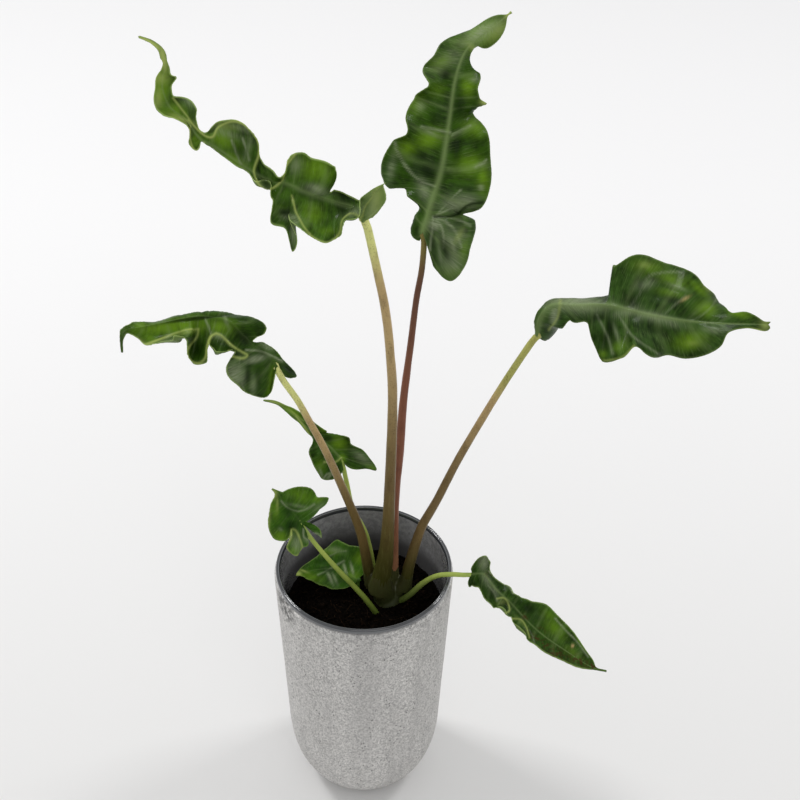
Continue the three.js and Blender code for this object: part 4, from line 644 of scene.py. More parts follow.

# %% Leaf lines
# Bloom lines are partly waxy bloom and partly painted highlights along folds and veins.
# Dark lines are painted shade beside the folds.
LEAF_LINES = {
    "leaf_1": [
        ("lime", 1.0, 0.8, [
            (188, 120), (204, 135), (213, 137), (219, 127), (233, 121), (247, 126), (258, 140), (259, 154),
            (254, 171), (258, 183), (269, 189), (281, 182), (286, 165), (295, 154)]),
        ("lime", 0.9, 0.7, [(190, 126), (190, 140), (196, 151), (204, 143)]),
        ("lime", 0.9, 0.6, [(173, 98), (185, 114), (196, 128), (207, 137)]),
        ("lime", 0.9, 0.6, [
            (292, 196), (297, 216), (311, 236), (328, 243), (340, 233), (343, 219), (354, 214),
            (362, 219)]),
        ("lime", 0.9, 0.6, [(362, 219), (365, 207), (373, 196), (381, 176)]),
        ("shade_and_dark_green", 2.2, 0.8, [(262, 150), (258, 168), (262, 180), (270, 184)]),
        ("shade_and_dark_green", 2.0, 0.7, [(206, 131), (212, 131), (217, 124)]),
        ("bloom_and_highlight", 1.2, 0.7, [(232, 140), (236, 152), (241, 164)]),
        ("bloom_and_highlight", 1.2, 0.7, [(243, 138), (246, 148), (249, 160)]),
    ],
    "leaf_2": [
        ("bloom_and_highlight", 1.0, 0.8, [(395, 142), (398, 153), (409, 170), (421, 181), (435, 187)]),
        ("shade_and_dark_green", 1.3, 0.9, [(434, 217), (455, 215), (469, 205), (489, 202)]),
        ("bloom_and_highlight", 1.2, 0.9, [(433, 217), (432, 232), (430, 250)]),
        ("bloom_and_highlight", 1.2, 0.9, [(434, 217), (442, 230), (444, 248)]),
        ("bloom_and_highlight", 1.2, 0.8, [(435, 217), (452, 228), (461, 247)]),
        ("bloom_and_highlight", 1.0, 0.7, [(436, 216), (455, 219), (470, 226)]),
        ("bloom_and_highlight", 1.2, 0.8, [(437, 215), (452, 208), (470, 201)]),
        ("bloom_and_highlight", 1.0, 0.7, [(439, 212), (450, 200), (461, 190)]),
        ("bloom_and_highlight", 1.1, 0.7, [(450, 133), (436, 130), (421, 127)]),
        ("bloom_and_highlight", 1.0, 0.6, [(452, 135), (462, 130), (470, 126)]),
        ("bloom_and_highlight", 0.9, 0.7, [(475, 168), (482, 164), (486, 160)]),
    ],
    "leaf_3": [
        ("bloom_and_highlight", 1.0, 0.4, [(626, 312), (640, 293), (648, 277), (662, 273), (680, 272)]),
        ("bloom_and_highlight", 1.0, 0.4, [(618, 315), (634, 338), (658, 354)]),
        ("bloom_and_highlight", 1.2, 0.5, [(597, 315), (608, 338), (613, 354)]),
        ("lime", 1.0, 0.4, [(560, 301), (557, 317), (549, 330)]),
        ("lime", 0.9, 0.4, [(600, 361), (621, 358), (634, 346)]),
        ("bloom_and_highlight", 0.9, 0.3, [(660, 318), (676, 304), (686, 296)]),
        ("bloom_and_highlight", 0.9, 0.3, [(690, 322), (706, 312), (716, 300)]),
    ],
    "leaf_4": [
        ("lime", 1.0, 0.7, [(143, 345), (152, 343), (165, 338), (178, 333), (190, 330), (199, 329)]),
        ("lime", 1.0, 0.75, [
            (199, 329), (197, 337), (189, 346), (187, 355), (192, 362), (200, 363), (206, 357), (208, 345),
            (211, 337), (216, 334)]),
        ("lime", 1.0, 0.75, [
            (216, 334), (222, 337), (231, 345), (240, 351), (247, 355), (242, 358), (232, 356),
            (229, 351)]),
        ("bloom_and_highlight", 1.0, 0.8, [(246, 350), (259, 351), (271, 356), (281, 361)]),
        ("bloom_and_highlight", 0.9, 0.5, [(205, 318), (209, 327), (211, 334)]),
        ("bloom_and_highlight", 0.9, 0.5, [(240, 357), (238, 372), (244, 390)]),
    ],
    "leaf_5": [
        ("lime", 0.9, 0.6, [(296, 416), (303, 425), (309, 434)]),
        ("bloom_and_highlight", 0.9, 0.9, [(323, 479), (327, 474), (332, 473)]),
        ("lime", 0.8, 0.6, [(341, 458), (335, 462), (324, 462)]),
    ],
    "leaf_6": [
        ("lime", 0.9, 0.8, [(291, 529), (291, 536), (288, 542), (286, 546)]),
        ("lime", 0.9, 0.6, [
            (291, 529), (296, 531), (300, 540), (302, 547), (300, 553), (295, 556), (290, 554),
            (286, 547)]),
        ("bloom_and_highlight", 0.9, 0.8, [
            (303, 529), (304, 537), (311, 541), (321, 541), (322, 538), (318, 534), (314, 534),
            (311, 539)]),
        ("bloom_and_highlight", 0.9, 0.6, [(281, 501), (288, 508), (297, 511), (306, 509), (314, 504)]),
    ],
    "leaf_7": [
        ("bloom_and_highlight", 0.9, 0.5, [(318, 575), (330, 569), (344, 561)]),
        ("bloom_and_highlight", 0.8, 0.4, [(330, 556), (338, 552), (346, 551)]),
    ],
    "leaf_8": [
        ("lime", 0.8, 0.6, [(497, 599), (503, 598), (508, 603), (509, 611), (504, 613), (499, 609)]),
        ("lime", 0.8, 0.6, [(512, 619), (521, 620), (526, 628), (529, 638)]),
        ("bloom_and_highlight", 0.9, 0.7, [(489, 571), (498, 580), (509, 587), (513, 593)]),
        ("bloom_and_highlight", 0.8, 0.5, [(555, 619), (567, 632), (577, 642), (588, 657)]),
        ("bloom_and_highlight", 1.0, 0.6, [(488, 585), (494, 593), (497, 601)]),
    ],
}
print("leaf lines:", sum(len(lines) for lines in LEAF_LINES.values()))


# %% [markdown]
# ## Curves through measured points
# Between the measured ribs the leaf has to flow. Straight lines would show as creases, so a curve that
# passes through every point is used, for the stalks, the midribs and the ribs' own values alike.

# %% Smooth curves
TINY = 1e-9
PATH_SAMPLES = 400


def smooth(rows, places):
    """Values on a smooth curve through rows of numbers, one row at each whole place."""
    rows = np.asarray(rows, float)
    last = len(rows) - 1
    first = np.clip(np.floor(places).astype(int), 0, last - 1)
    f = (places - first)[:, None]
    start, end = rows[first], rows[first + 1]
    before = np.where((first > 0)[:, None], rows[np.maximum(first - 1, 0)], 2 * start - end)
    after = np.where((first < last - 1)[:, None], rows[np.minimum(first + 2, last)], 2 * end - start)
    bend = 2 * before - 5 * start + 4 * end - after
    twist = 3 * start - before - 3 * end + after
    return 0.5 * (2 * start + (end - before) * f + bend * f**2 + twist * f**3)


def unit(vectors):
    return vectors / np.maximum(np.linalg.norm(vectors, axis=-1, keepdims=True), TINY)


class Path:
    """A smooth line through points, read at shares of its length."""

    def __init__(self, points, samples=PATH_SAMPLES):
        self.line = smooth(points, np.linspace(0, len(points) - 1, samples))
        steps = np.linalg.norm(np.diff(self.line, axis=0), axis=1)
        self.marks = np.concatenate([[0], np.cumsum(steps)])
        self.length = self.marks[-1]

    def at(self, shares):
        goals = np.clip(shares, 0, 1) * self.length
        return np.stack([np.interp(goals, self.marks, self.line[:, axis]) for axis in range(3)], -1)

    def ahead(self, shares, reach=0.01):
        return unit(self.at(shares + reach) - self.at(shares - reach))


STALKS = {name: Path(leaf["stalk"] + [leaf["midrib"][0]]) for name, leaf in LEAVES.items()}
print("stalk lengths in mm:", [round(path.length) for path in STALKS.values()])


# %% [markdown]
# ## Blade surface
# The middle surface of a blade could be sculpted, but a grid keeps to the measured ribs: a row of points
# for each rib and more rows between, with the points closer near the midrib, where the vein needs them. Side
# veins follow the ribs. The tissue between them puffs up a little, as on the real leaf, and the midrib
# stands out below, where it carries on from the stalk.

# %% Blade grid
COLUMNS_EACH_SIDE = 38
COLUMN_SPREAD = 1.35
ROWS_PER_RIB = 12
NARROWEST = 0.5
LEAST_BEND = 1e-4
RIB_NUMBERS = 10


def blade_grid(leaf):
    """Grid of points, and each row's place among the ribs, share of the midrib and two widths."""
    table = np.array([(*rib, 0)[:RIB_NUMBERS] for rib in leaf["ribs"]], float)
    places = np.linspace(0, len(table) - 1, (len(table) - 1) * ROWS_PER_RIB + 1)
    values = smooth(table, places)
    shares = np.clip(values[:, 0], 0, 1)
    midrib = Path(leaf["midrib"])
    middle, ahead = midrib.at(shares), midrib.ahead(shares)
    face_from, face_to = np.array(leaf["face"], float)
    facing = face_from + (face_to - face_from) * shares[:, None]
    up = unit(facing - (facing * ahead).sum(1, keepdims=True) * ahead)
    roll = np.radians(values[:, 9])[:, None]
    up = np.cos(roll) * up + np.sin(roll) * np.cross(ahead, up)
    right = np.cross(ahead, up)
    across = np.linspace(0, 1, COLUMNS_EACH_SIDE + 1)[1:] ** COLUMN_SPREAD
    halves = []
    for side, first in ((-1, 1), (1, 5)):
        width = np.maximum(values[:, first], NARROWEST)[:, None]
        sweep = np.radians(values[:, first + 1])[:, None]
        out = side * np.cos(sweep) * right + np.sin(sweep) * ahead
        start = np.radians(values[:, first + 2])[:, None]
        bend = np.radians(values[:, first + 3])[:, None] - start
        bend = np.where(np.abs(bend) < LEAST_BEND, LEAST_BEND, bend)
        angle = start + bend * across
        flat = (width / bend * (np.sin(angle) - np.sin(start)))[..., None] * out[:, None]
        lift = (width / bend * (np.cos(start) - np.cos(angle)))[..., None] * up[:, None]
        halves.append(middle[:, None] + flat + lift)
    grid = np.concatenate([halves[0][:, ::-1], middle[:, None], halves[1]], 1)
    across = np.concatenate([-across[::-1], [0], across])
    return grid, places, shares, across, values[:, [1, 5]]


def grid_normals(grid, passes):
    """Directions square to the grid, evened out with their neighbours."""
    square = unit(np.cross(grid[1:, 1:] - grid[:-1, :-1], grid[1:, :-1] - grid[:-1, 1:]))
    normals = np.zeros_like(grid)
    rows, columns = square.shape[:2]
    for i in (0, 1):
        for j in (0, 1):
            normals[i:i + rows, j:j + columns] += square
    normals = unit(normals)
    for _ in range(passes):
        wide = np.pad(normals, ((1, 1), (1, 1), (0, 0)), mode="edge")
        around = wide[2:, 1:-1] + wide[:-2, 1:-1] + wide[1:-1, 2:] + wide[1:-1, :-2]
        normals = unit(2 * normals + around)
    return normals


def sheet_faces(rows, columns):
    """Faces of a sheet's upper and lower surface, and of the narrow rim that joins them."""
    below = rows * columns
    faces = grid_faces(rows, columns) + grid_faces(rows, columns, start=below, flip=True)
    left = [row * columns for row in range(rows)]
    right = [start + columns - 1 for start in left]
    for edge in (left, right[::-1], list(range(columns))[::-1], list(range(left[-1], below))):
        faces += [(a, b, b + below, a + below) for a, b in zip(edge, edge[1:])]
    return faces


most_ribs = max(len(leaf["ribs"]) for leaf in LEAVES.values())
print("rows in the longest blade:", (most_ribs - 1) * ROWS_PER_RIB + 1)

# %% Spots and lines on the blades
LINE_SOFT = 1.25
LINE_STEPS = 6
SPOT_KINDS = ("bright", "bloom_and_highlight", "lime", "shade_and_dark_green", "brown", "dry")


def line_distance(corners, seen):
    """How far each seen point is from a line through corners, in pixels."""
    corners = smooth(corners, np.linspace(0, len(corners) - 1, LINE_STEPS * len(corners)))
    nearest = np.full(seen[0].shape, np.inf)
    for (x, y), (next_x, next_y) in zip(corners, corners[1:]):
        run, rise = next_x - x, next_y - y
        share = ((seen[0] - x) * run + (seen[1] - y) * rise) / max(run**2 + rise**2, TINY)
        share = np.clip(share, 0, 1)
        nearest = np.minimum(nearest, np.hypot(seen[0] - x - share * run, seen[1] - y - share * rise))
    return nearest


def soft_spots(name, kind, seen):
    """Strength of one kind of spot at each point of a leaf, by where the point is seen."""
    total = np.zeros(seen[0].shape)
    for x, y, long, wide, turn, strength in LEAF_SPOTS[name].get(kind, ()):
        turn = math.radians(turn)
        along = (seen[0] - x) * math.cos(turn) + (seen[1] - y) * math.sin(turn)
        aside = (seen[1] - y) * math.cos(turn) - (seen[0] - x) * math.sin(turn)
        total = np.maximum(total, strength * np.exp(-((along / long) ** 2) - (aside / wide) ** 2))
    for line_kind, wide, strength, corners in LEAF_LINES[name]:
        if line_kind == kind:
            off = line_distance(corners, seen) / wide / LINE_SOFT
            total = np.maximum(total, strength * np.exp(-(off**2)))
    return total


print("kinds of spot:", ", ".join(SPOT_KINDS))

# %% Blade relief
BLADE_HALF = 0.32
EDGE_THIN = 0.45
EDGE_FADE = 8
NORMAL_PASSES = 9
LEAF_VEINS = {"leaf_1": 12, "leaf_2": 11, "leaf_3": 10, "leaf_4": 12,
              "leaf_5": 8, "leaf_6": 8, "leaf_7": 7, "leaf_8": 11}
VEIN_SWEEP = 0.3
VEIN_CURVE = 1.4
VEIN_WIDTH = 0.09
VEIN_HEIGHT = 0.25
VEIN_START = 8
PUFF_HEIGHT = 0.28
PUFF_ROUND = 1.2
PUFF_START = 4
RELIEF_FADE = 5
FULL_RELIEF_WIDTH = 12
MARGIN_WAVE = 0.35
WAVE_FADE = 6
WAVE_STEP = 0.35
WAVE_SIDES = (0, 0.75)
SPOT_RELIEF = {"shade_and_dark_green": -1.5, "bloom_and_highlight": 0.8, "lime": 0.5, "bright": 0.3}
MIDRIB_OF_STALK = 0.9
MIDRIB_END = 0.06
MIDRIB_TAPER = 0.8
RIDGE_HEIGHT = 0.8
GROOVE_DEPTH = 0.3
GROOVE_BREADTH = 0.9
PALE_RIB = 0.75
PALE_RIB_LEAST = 0.15
RIB_BREADTH = {"leaf_2": 1.9, "leaf_3": 2.0, "leaf_8": 0.8}
PALE_MARGIN = 1.1
MARGIN_SOFT = 0.7
FULL_MARGIN_WIDTH = 5
LEAST_MARGIN = 0.2


def pick_side(across, pair):
    """Values for the left or the right half of each row."""
    return np.where(across[None] < 0, pair[:, :1], pair[:, 1:])


def make_blade(name, leaf, material):
    grid, places, shares, across, widths = blade_grid(leaf)
    rows, columns = grid.shape[:2]
    aside = np.abs(across)[None]
    width = pick_side(across, widths)
    phase = places[:, None] / (len(leaf["ribs"]) - 1) * LEAF_VEINS[name] - VEIN_SWEEP * aside**VEIN_CURVE
    off = np.abs(phase - np.round(phase))
    inside = np.clip(1 - aside**RELIEF_FADE, 0, 1) * np.clip(width / FULL_RELIEF_WIDTH, 0, 1)
    vein = np.exp(-((off / VEIN_WIDTH) ** 2)) * inside * np.clip(aside * VEIN_START, 0, 1)
    puff = PUFF_HEIGHT * np.sin(np.pi * np.clip(off * 2, 0, 1) / 2) ** PUFF_ROUND
    puff = puff * inside * np.clip(aside * PUFF_START, 0, 1)
    wave = np.array([[noise.noise(Vector((row * WAVE_STEP, side, len(name) + rows))) for side in WAVE_SIDES]
                     for row in range(rows)])
    wave = pick_side(across, wave) * MARGIN_WAVE * aside**WAVE_FADE
    seen = photo_place(grid)
    spots = {kind: soft_spots(name, kind, seen) for kind in SPOT_KINDS}
    relief = sum(depth * spots[kind] for kind, depth in SPOT_RELIEF.items()) * inside

    from_midrib = aside * width
    rib_radius = np.clip(1 - shares, MIDRIB_END, 1)[:, None] ** MIDRIB_TAPER
    rib_radius = leaf["thickness"][-1] * MIDRIB_OF_STALK * rib_radius
    ridge = np.sqrt(np.clip(rib_radius**2 - from_midrib**2, 0, None)) * RIDGE_HEIGHT
    groove = GROOVE_DEPTH * rib_radius * np.exp(-((from_midrib / (rib_radius * GROOVE_BREADTH)) ** 2))
    pale_rib = rib_radius * PALE_RIB * RIB_BREADTH.get(name, 1) + PALE_RIB_LEAST
    midrib = np.exp(-((from_midrib / pale_rib) ** 2))
    margin = np.clip((from_midrib - width + PALE_MARGIN) / MARGIN_SOFT, 0, 1)
    margin = margin * np.clip(width / FULL_MARGIN_WIDTH, LEAST_MARGIN, 1)

    thin = BLADE_HALF * (1 - EDGE_THIN * aside**EDGE_FADE)
    normals = grid_normals(grid, NORMAL_PASSES)
    middle = grid + normals * (puff + wave + relief)[..., None]
    upper = middle + normals * (thin + groove)[..., None]
    lower = middle - normals * (thin + ridge + vein * VEIN_HEIGHT)[..., None]
    points = np.concatenate([upper.reshape(-1, 3), lower.reshape(-1, 3)])

    layers = {
        "leaf_place": [phase, across, 1],
        # The second value is the bloom mark, partly painted highlights.
        "leaf_tint_and_highlight": [spots["bright"], spots["bloom_and_highlight"], vein, margin],
        # The third value is the dark mark, partly painted shade.
        "leaf_rib_and_shade": [midrib, spots["lime"], spots["shade_and_dark_green"]],
        "leaf_age": [spots["brown"], spots["dry"], 0],
    }
    marks = {}
    for label, values in layers.items():
        top = np.stack([np.broadcast_to(value, phase.shape).ravel() for value in values], -1)
        marks[label] = np.concatenate([top, top])
    marks["leaf_place"][rows * columns:, 2] = 0
    number = name.split("_")[1]
    return make_piece(f"leaf_blade_{number}", points, sheet_faces(rows, columns), material,
                      f"blade_{number}", "leaf", marks)


print("side veins:", LEAF_VEINS)


# %% [markdown]
# ## Leaf surface
# A waxy leaf is more than one green: dark and light patches, veins, a pale margin, a paler underside and a
# few brown flecks. Part of the dark is painted shade and part of the bloom is painted highlight. One
# material with painted pictures would do, but a node group that mixes the marks on the mesh with noise
# serves all eight leaves, and each leaf gives it its own colours.

# %% Leaf colour group
# Dark is the blade's dark green and also the colour of its painted shade.
LEAF_COLOURS = {
    "Dark": (0.005, 0.015, 0.001), "Green": (0.03, 0.082, 0.004), "Bright": (0.13, 0.25, 0.01),
    # Bloom is the waxy bloom and also the colour of painted highlights.
    "Bloom_and_highlight": (0.3, 0.35, 0.21), "Vein": (0.2, 0.28, 0.1), "Edge": (0.33, 0.45, 0.14),
    "Under": (0.14, 0.21, 0.06), "Lime": (0.4, 0.48, 0.13), "Brown": (0.05, 0.018, 0.006),
    "Dry": (0.5, 0.36, 0.16),
}
LEAF_AMOUNTS = {"Edge amount": 0.5, "Vein amount": 0.22, "Rib amount": 0.7}


def leaf_group():
    tree, given, out = new_group("Leaf surface", LEAF_COLOURS | LEAF_AMOUNTS)
    on_leaf = mark(tree, "leaf_place", "Vector")
    upper = parts(tree, on_leaf)["Z"]
    bright, bloom_and_highlight, vein = new_node(tree, "SeparateColor", mark(tree, "leaf_tint_and_highlight", "Color")).outputs
    edge = times(tree, mark(tree, "leaf_tint_and_highlight", "Alpha"), given["Edge amount"])
    midrib, lime, shade_and_dark_green = parts(tree, mark(tree, "leaf_rib_and_shade", "Vector"))
    brown, dry, _ = parts(tree, mark(tree, "leaf_age", "Vector"))
    blotch = grain(tree, scale=110, detail=4)
    fine = grain(tree, scale=700, detail=4)
    broad_ribs = grain(tree, stretch=(9, 1.6, 1), source=on_leaf, scale=1, detail=3)
    fine_ribs = grain(tree, stretch=(34, 3, 1), source=on_leaf, scale=1, detail=4, rough=0.65)
    mottle = plus(tree, times(tree, blotch, 0.6), times(tree, broad_ribs, 0.4))
    rust = span(tree, grain(tree, scale=520, detail=3), 0.45, 0.53)
    # Bloom and painted highlights, streaked along the ribs.
    bloom_and_highlight_streaks = times(tree, bloom_and_highlight, span(tree, fine_ribs, 0.35, 0.68, 0.5, 1))
    pale_vein = times(tree, vein, given["Vein amount"])
    above = mix(tree, span(tree, mottle, 0.28, 0.66), given["Dark"], given["Green"])
    above = lay(tree, above, given, [
        (times(tree, bright, span(tree, mottle, 0.3, 0.6, 0.65, 1)), "Bright"),
        (span(tree, fine_ribs, 0.5, 0.72, 0, 0.26), "Vein"),
        (bloom_and_highlight_streaks, "Bloom_and_highlight"),
        (pale_vein, "Vein"),
        # Painted shade, with the dark green, from the dark spots and lines.
        (times(tree, shade_and_dark_green, 0.92), "Dark"),
        (times(tree, midrib, given["Rib amount"]), "Vein"),
        (edge, "Edge"),
    ])
    below = mix(tree, span(tree, mottle, 0.35, 0.65, 0, 0.5), given["Under"], given["Green"])
    below = lay(tree, below, given, [
        (sums(tree, "MAXIMUM", pale_vein, edge), "Edge"),
        (times(tree, bright, 0.7), "Bright"),
        # Bloom and painted highlights on the underside too.
        (times(tree, bloom_and_highlight, 0.6), "Bloom_and_highlight"),
        # Painted shade on the underside too.
        (times(tree, shade_and_dark_green, 0.95), "Dark"),
    ])
    colour = lay(tree, mix(tree, upper, below, above), given, [
        (times(tree, lime, 0.9), "Lime"),
        (times(tree, brown, rust), "Brown"),
        (dry, "Dry"),
    ])
    feed(tree, out["Colour"], colour)
    gloss = plus(tree, span(tree, fine, 0.3, 0.7, 0.26, 0.4), times(tree, bloom_and_highlight_streaks, 0.1))
    gloss = plus(tree, gloss, times(tree, sums(tree, "SUBTRACT", 1, upper), 0.15))
    feed(tree, out["Roughness"], gloss)
    feed(tree, out["Height"], plus(tree, times(tree, fine, 0.4), times(tree, fine_ribs, 0.8)))
    return tree


LEAF_GROUP = leaf_group()
print("leaf colours:", ", ".join(LEAF_COLOURS))

# %% Eight blades
LEAF_BUMP = (0.22, 0.0006)
LEAF_TONES = {
    "leaf_1": {"Green": (0.05, 0.12, 0.009), "Edge amount": 0.8, "Rib amount": 0.4},
    "leaf_2": {"Edge amount": 0.3, "Vein amount": 0.3, "Rib amount": 0.6},
    "leaf_3": {"Green": (0.034, 0.082, 0.011), "Edge amount": 0.3, "Vein amount": 0.2, "Rib amount": 0.5},
    "leaf_4": {"Edge amount": 0.7, "Rib amount": 0.1},
    "leaf_5": {"Green": (0.036, 0.1, 0.008), "Edge amount": 0.4, "Rib amount": 0.4},
    "leaf_6": {"Green": (0.044, 0.125, 0.007), "Dark": (0.01, 0.036, 0.003), "Edge amount": 0.35,
               "Rib amount": 0.1, "Vein amount": 0.12},
    "leaf_7": {"Green": (0.034, 0.1, 0.006), "Dark": (0.01, 0.036, 0.003), "Edge amount": 0.3,
               "Rib amount": 0.15, "Vein amount": 0.08},
    "leaf_8": {"Green": (0.028, 0.075, 0.007), "Edge amount": 0.5, "Rib amount": 0.4},
}
blades = []
for name, tones in LEAF_TONES.items():
    waxy = new_material(f"{name} surface", LEAF_GROUP, tones, LEAF_BUMP,
                        Specular_IOR_Level=0.03, Coat_Weight=0.05, Coat_Roughness=0.08)
    blades.append(make_blade(name, LEAVES[name], waxy))
print("blade faces:", sum(len(blade.data.polygons) for blade in blades))


# %% [markdown]
# ## Stalks
# The long stalks are smooth and round, olive brown with fine dark flecks, and turn yellow-green below the
# blade; one is reddish. A curve with a bevel would do, but a swept grid of rings lets each ring carry its
# place along the stalk, which the colour needs.

# %% Swept tube
LUMP_LENGTH = 14
SIDE_HINT = (0.1, 1, 0.1)


def tube(path, radii, rings, around, to_share=1.0, wobble=0.0, extra=(0, 0)):
    """Rings of points round a path; radii are spread evenly over the path's length."""
    shares = np.linspace(0, to_share, rings)
    centres, ahead = path.at(shares), path.ahead(shares)
    aside = unit(np.cross(ahead, np.array(SIDE_HINT)))
    over = np.cross(ahead, aside)
    radius = smooth(np.array(radii, float)[:, None], np.clip(shares, 0, 1) * (len(radii) - 1))[:, 0]
    radius = radius + np.linspace(*extra, rings)
    points = []
    for ring in range(rings):
        along = shares[ring] * path.length / LUMP_LENGTH
        for turn in full_turn(around):
            x, y = math.cos(turn), math.sin(turn)
            size = radius[ring] * (1 + wobble * noise.noise(Vector((x, y, along))))
            points.append(centres[ring] + size * (x * aside[ring] + y * over[ring]))
    return np.array(points), grid_faces(rings, around, closed=True) + end_faces(rings, around), shares


print("longest stalk in mm:", round(max(path.length for path in STALKS.values())))

# %% Stalk colour group
STALK_COLOURS = {"Foot": (0.045, 0.048, 0.008), "Middle": (0.15, 0.1, 0.034), "Tan": (0.46, 0.33, 0.15),
                 "Top": (0.68, 0.7, 0.25), "Fleck": (0.05, 0.03, 0.01)}
STALK_STEPS = {"Middle from": 0.25, "Tan from": 0.7, "Top from": 0.9, "Flecks": 0.7}


def stalk_group():
    tree, given, out = new_group("Stalk surface", STALK_COLOURS | STALK_STEPS)
    along = mark(tree, "along")
    streaks = grain(tree, stretch=(1, 1, 0.08), scale=1100, detail=4)
    cloud = grain(tree, stretch=(1, 1, 0.4), scale=160, detail=3)
    dots = span(tree, specks(tree, stretch=(1, 1, 0.6), scale=1150), 0.16, 0.34, 1, 0)
    spotted = times(tree, dots, span(tree, cloud, 0.3, 0.6, 0.3, 1))

    def step(label, soft):
        """A soft step in colour, about a given place along the stalk."""
        return span(tree, along, sums(tree, "SUBTRACT", given[label], soft), plus(tree, given[label], soft))

    foot = mix(tree, span(tree, along, 0.02, given["Middle from"]), given["Foot"], given["Middle"])
    feed(tree, out["Colour"], lay(tree, foot, given, [
        (step("Tan from", 0.2), "Tan"),
        (step("Top from", 0.06), "Top"),
        (span(tree, cloud, 0.45, 0.75, 0, 0.3), "Fleck"),
        (times(tree, spotted, given["Flecks"]), "Fleck"),
        (span(tree, streaks, 0.5, 0.75, 0, 0.06), "Top"),
    ]))
    feed(tree, out["Roughness"], span(tree, streaks, 0.3, 0.7, 0.34, 0.48))
    feed(tree, out["Height"], streaks)
    return tree


STALK_GROUP = stalk_group()
print("stalk colours:", ", ".join(STALK_COLOURS))

# %% Eight stalks
STALK_RINGS = 110
STALK_AROUND = 20
STALK_BUMP = (0.12, 0.0004)
STALK_WOBBLE = 0.04
THICKNESS_SAMPLES = 120
GREEN_STALK = {"Foot": (0.06, 0.1, 0.012), "Middle": (0.26, 0.34, 0.06), "Tan": (0.38, 0.47, 0.1),
               "Top": (0.34, 0.45, 0.1), "Fleck": (0.12, 0.19, 0.04), "Middle from": 0.35, "Tan from": 0.5,
               "Flecks": 0.15}
STALK_TONES = {
    "leaf_1": {"Middle from": 0.35, "Tan from": 0.55},
    "leaf_2": {"Foot": (0.3, 0.14, 0.07), "Middle": (0.22, 0.085, 0.048), "Tan": (0.13, 0.06, 0.036),
               "Top": (0.2, 0.17, 0.045), "Fleck": (0.06, 0.02, 0.015), "Top from": 0.93, "Flecks": 0.3},
    "leaf_3": {"Middle": (0.17, 0.115, 0.045), "Top": (0.4, 0.4, 0.11), "Tan from": 0.62, "Top from": 0.8},
    "leaf_4": {"Tan from": 0.55, "Top from": 0.82},
    "leaf_5": GREEN_STALK | {"Middle": (0.3, 0.38, 0.08)},
    "leaf_6": GREEN_STALK,
    "leaf_7": GREEN_STALK | {"Middle": (0.05, 0.11, 0.015), "Tan": (0.06, 0.14, 0.015),
                             "Top": (0.05, 0.12, 0.015)},
    "leaf_8": GREEN_STALK | {"Middle": (0.15, 0.2, 0.045)},
}
STALK_SLOTS = {"leaf_1": "petiole_brown", "leaf_2": "petiole_red",
               "leaf_3": "petiole_brown", "leaf_4": "petiole_brown"}
JOINT_REACH = {"leaf_1": 8, "leaf_3": 5, "leaf_4": 5, "leaf_6": 3, "leaf_7": 6}
USUAL_REACH = 15
JOINT_SINK_FROM = 8
JOINT_THINNING = 0.8


def make_stalk(name, leaf):
    """The stalk runs on under the blade for a little way, thinner and thinner, as the midrib does."""
    number = name.split("_")[1]
    material = new_material(f"stalk {number}", STALK_GROUP, STALK_TONES[name], STALK_BUMP,
                            Specular_IOR_Level=0.12, Coat_Weight=0.06)
    path = Path(leaf["stalk"] + leaf["midrib"][:3])
    joint = STALKS[name].length / path.length
    end = min(joint + JOINT_REACH.get(name, USUAL_REACH) / path.length, 1)
    shares = np.linspace(0, 1, THICKNESS_SAMPLES)
    thickness = np.array(leaf["thickness"], float)[:, None]
    radii = smooth(thickness, np.clip(shares / joint, 0, 1) * (len(thickness) - 1))[:, 0]
    radii = radii * (1 - JOINT_THINNING * np.clip((shares - joint) / (end - joint), 0, 1))
    points, faces, along = tube(path, radii, STALK_RINGS, STALK_AROUND, end, STALK_WOBBLE)
    along = np.repeat(along, STALK_AROUND)
    ahead = path.ahead(np.array([joint]))[0]
    up = np.array(leaf["face"][0], float)
    up = unit(up - (up @ ahead) * ahead)
    sink = np.clip((along - joint) * path.length / JOINT_SINK_FROM + 1, 0, 1)
    radius = np.interp(along, shares, radii)
    points = points - (sink * np.maximum(radius - BLADE_HALF, 0))[:, None] * up
    return make_piece(f"stalk_{number}", points, faces, material, f"petiole_{number}",
                      STALK_SLOTS.get(name, "petiole_green"), {"along": along / joint})


stalks = [make_stalk(name, leaf) for name, leaf in LEAVES.items()]
print("stalk points:", sum(len(stalk.data.vertices) for stalk in stalks))


# %% [markdown]
# ## Stem base
# At the soil the long stalks widen into sheaths that clasp each other and the corm. Separate tubes would
# look like sticks in a bundle, so tubes and corm are fused into one skin, smoothed where they meet.

# %% Corm and sheaths
CORM = {"centre": (17, 5), "radius": 13.5, "top": 179, "bottom": 140, "fullness": 0.8, "heart_depth": 16}
CORM_RINGS = 24
CORM_AROUND = 32
CORM_POLE = 0.02
SHEATHED = {"leaf_1": 0.075, "leaf_2": 0.06, "leaf_3": 0.1, "leaf_4": 0.12}
SHEATH_EXTRA = (0.6, -0.4)
SHEATH_RINGS = 20
SHEATH_AROUND = 24
ROOT_RINGS = 10
ROOT_MEETS = 0.3


def corm_form():
    x, y = CORM["centre"]
    half = (CORM["top"] - CORM["bottom"]) / 2
    points = []
    for ring in np.linspace(CORM_POLE, np.pi - CORM_POLE, CORM_RINGS):
        radius = CORM["radius"] * math.sin(ring) ** CORM["fullness"]
        height = CORM["bottom"] + half - half * math.cos(ring)
        points += [(x + radius * math.cos(turn), y + radius * math.sin(turn), height)
                   for turn in full_turn(CORM_AROUND)]
    return points, grid_faces(CORM_RINGS, CORM_AROUND, closed=True) + end_faces(CORM_RINGS, CORM_AROUND)


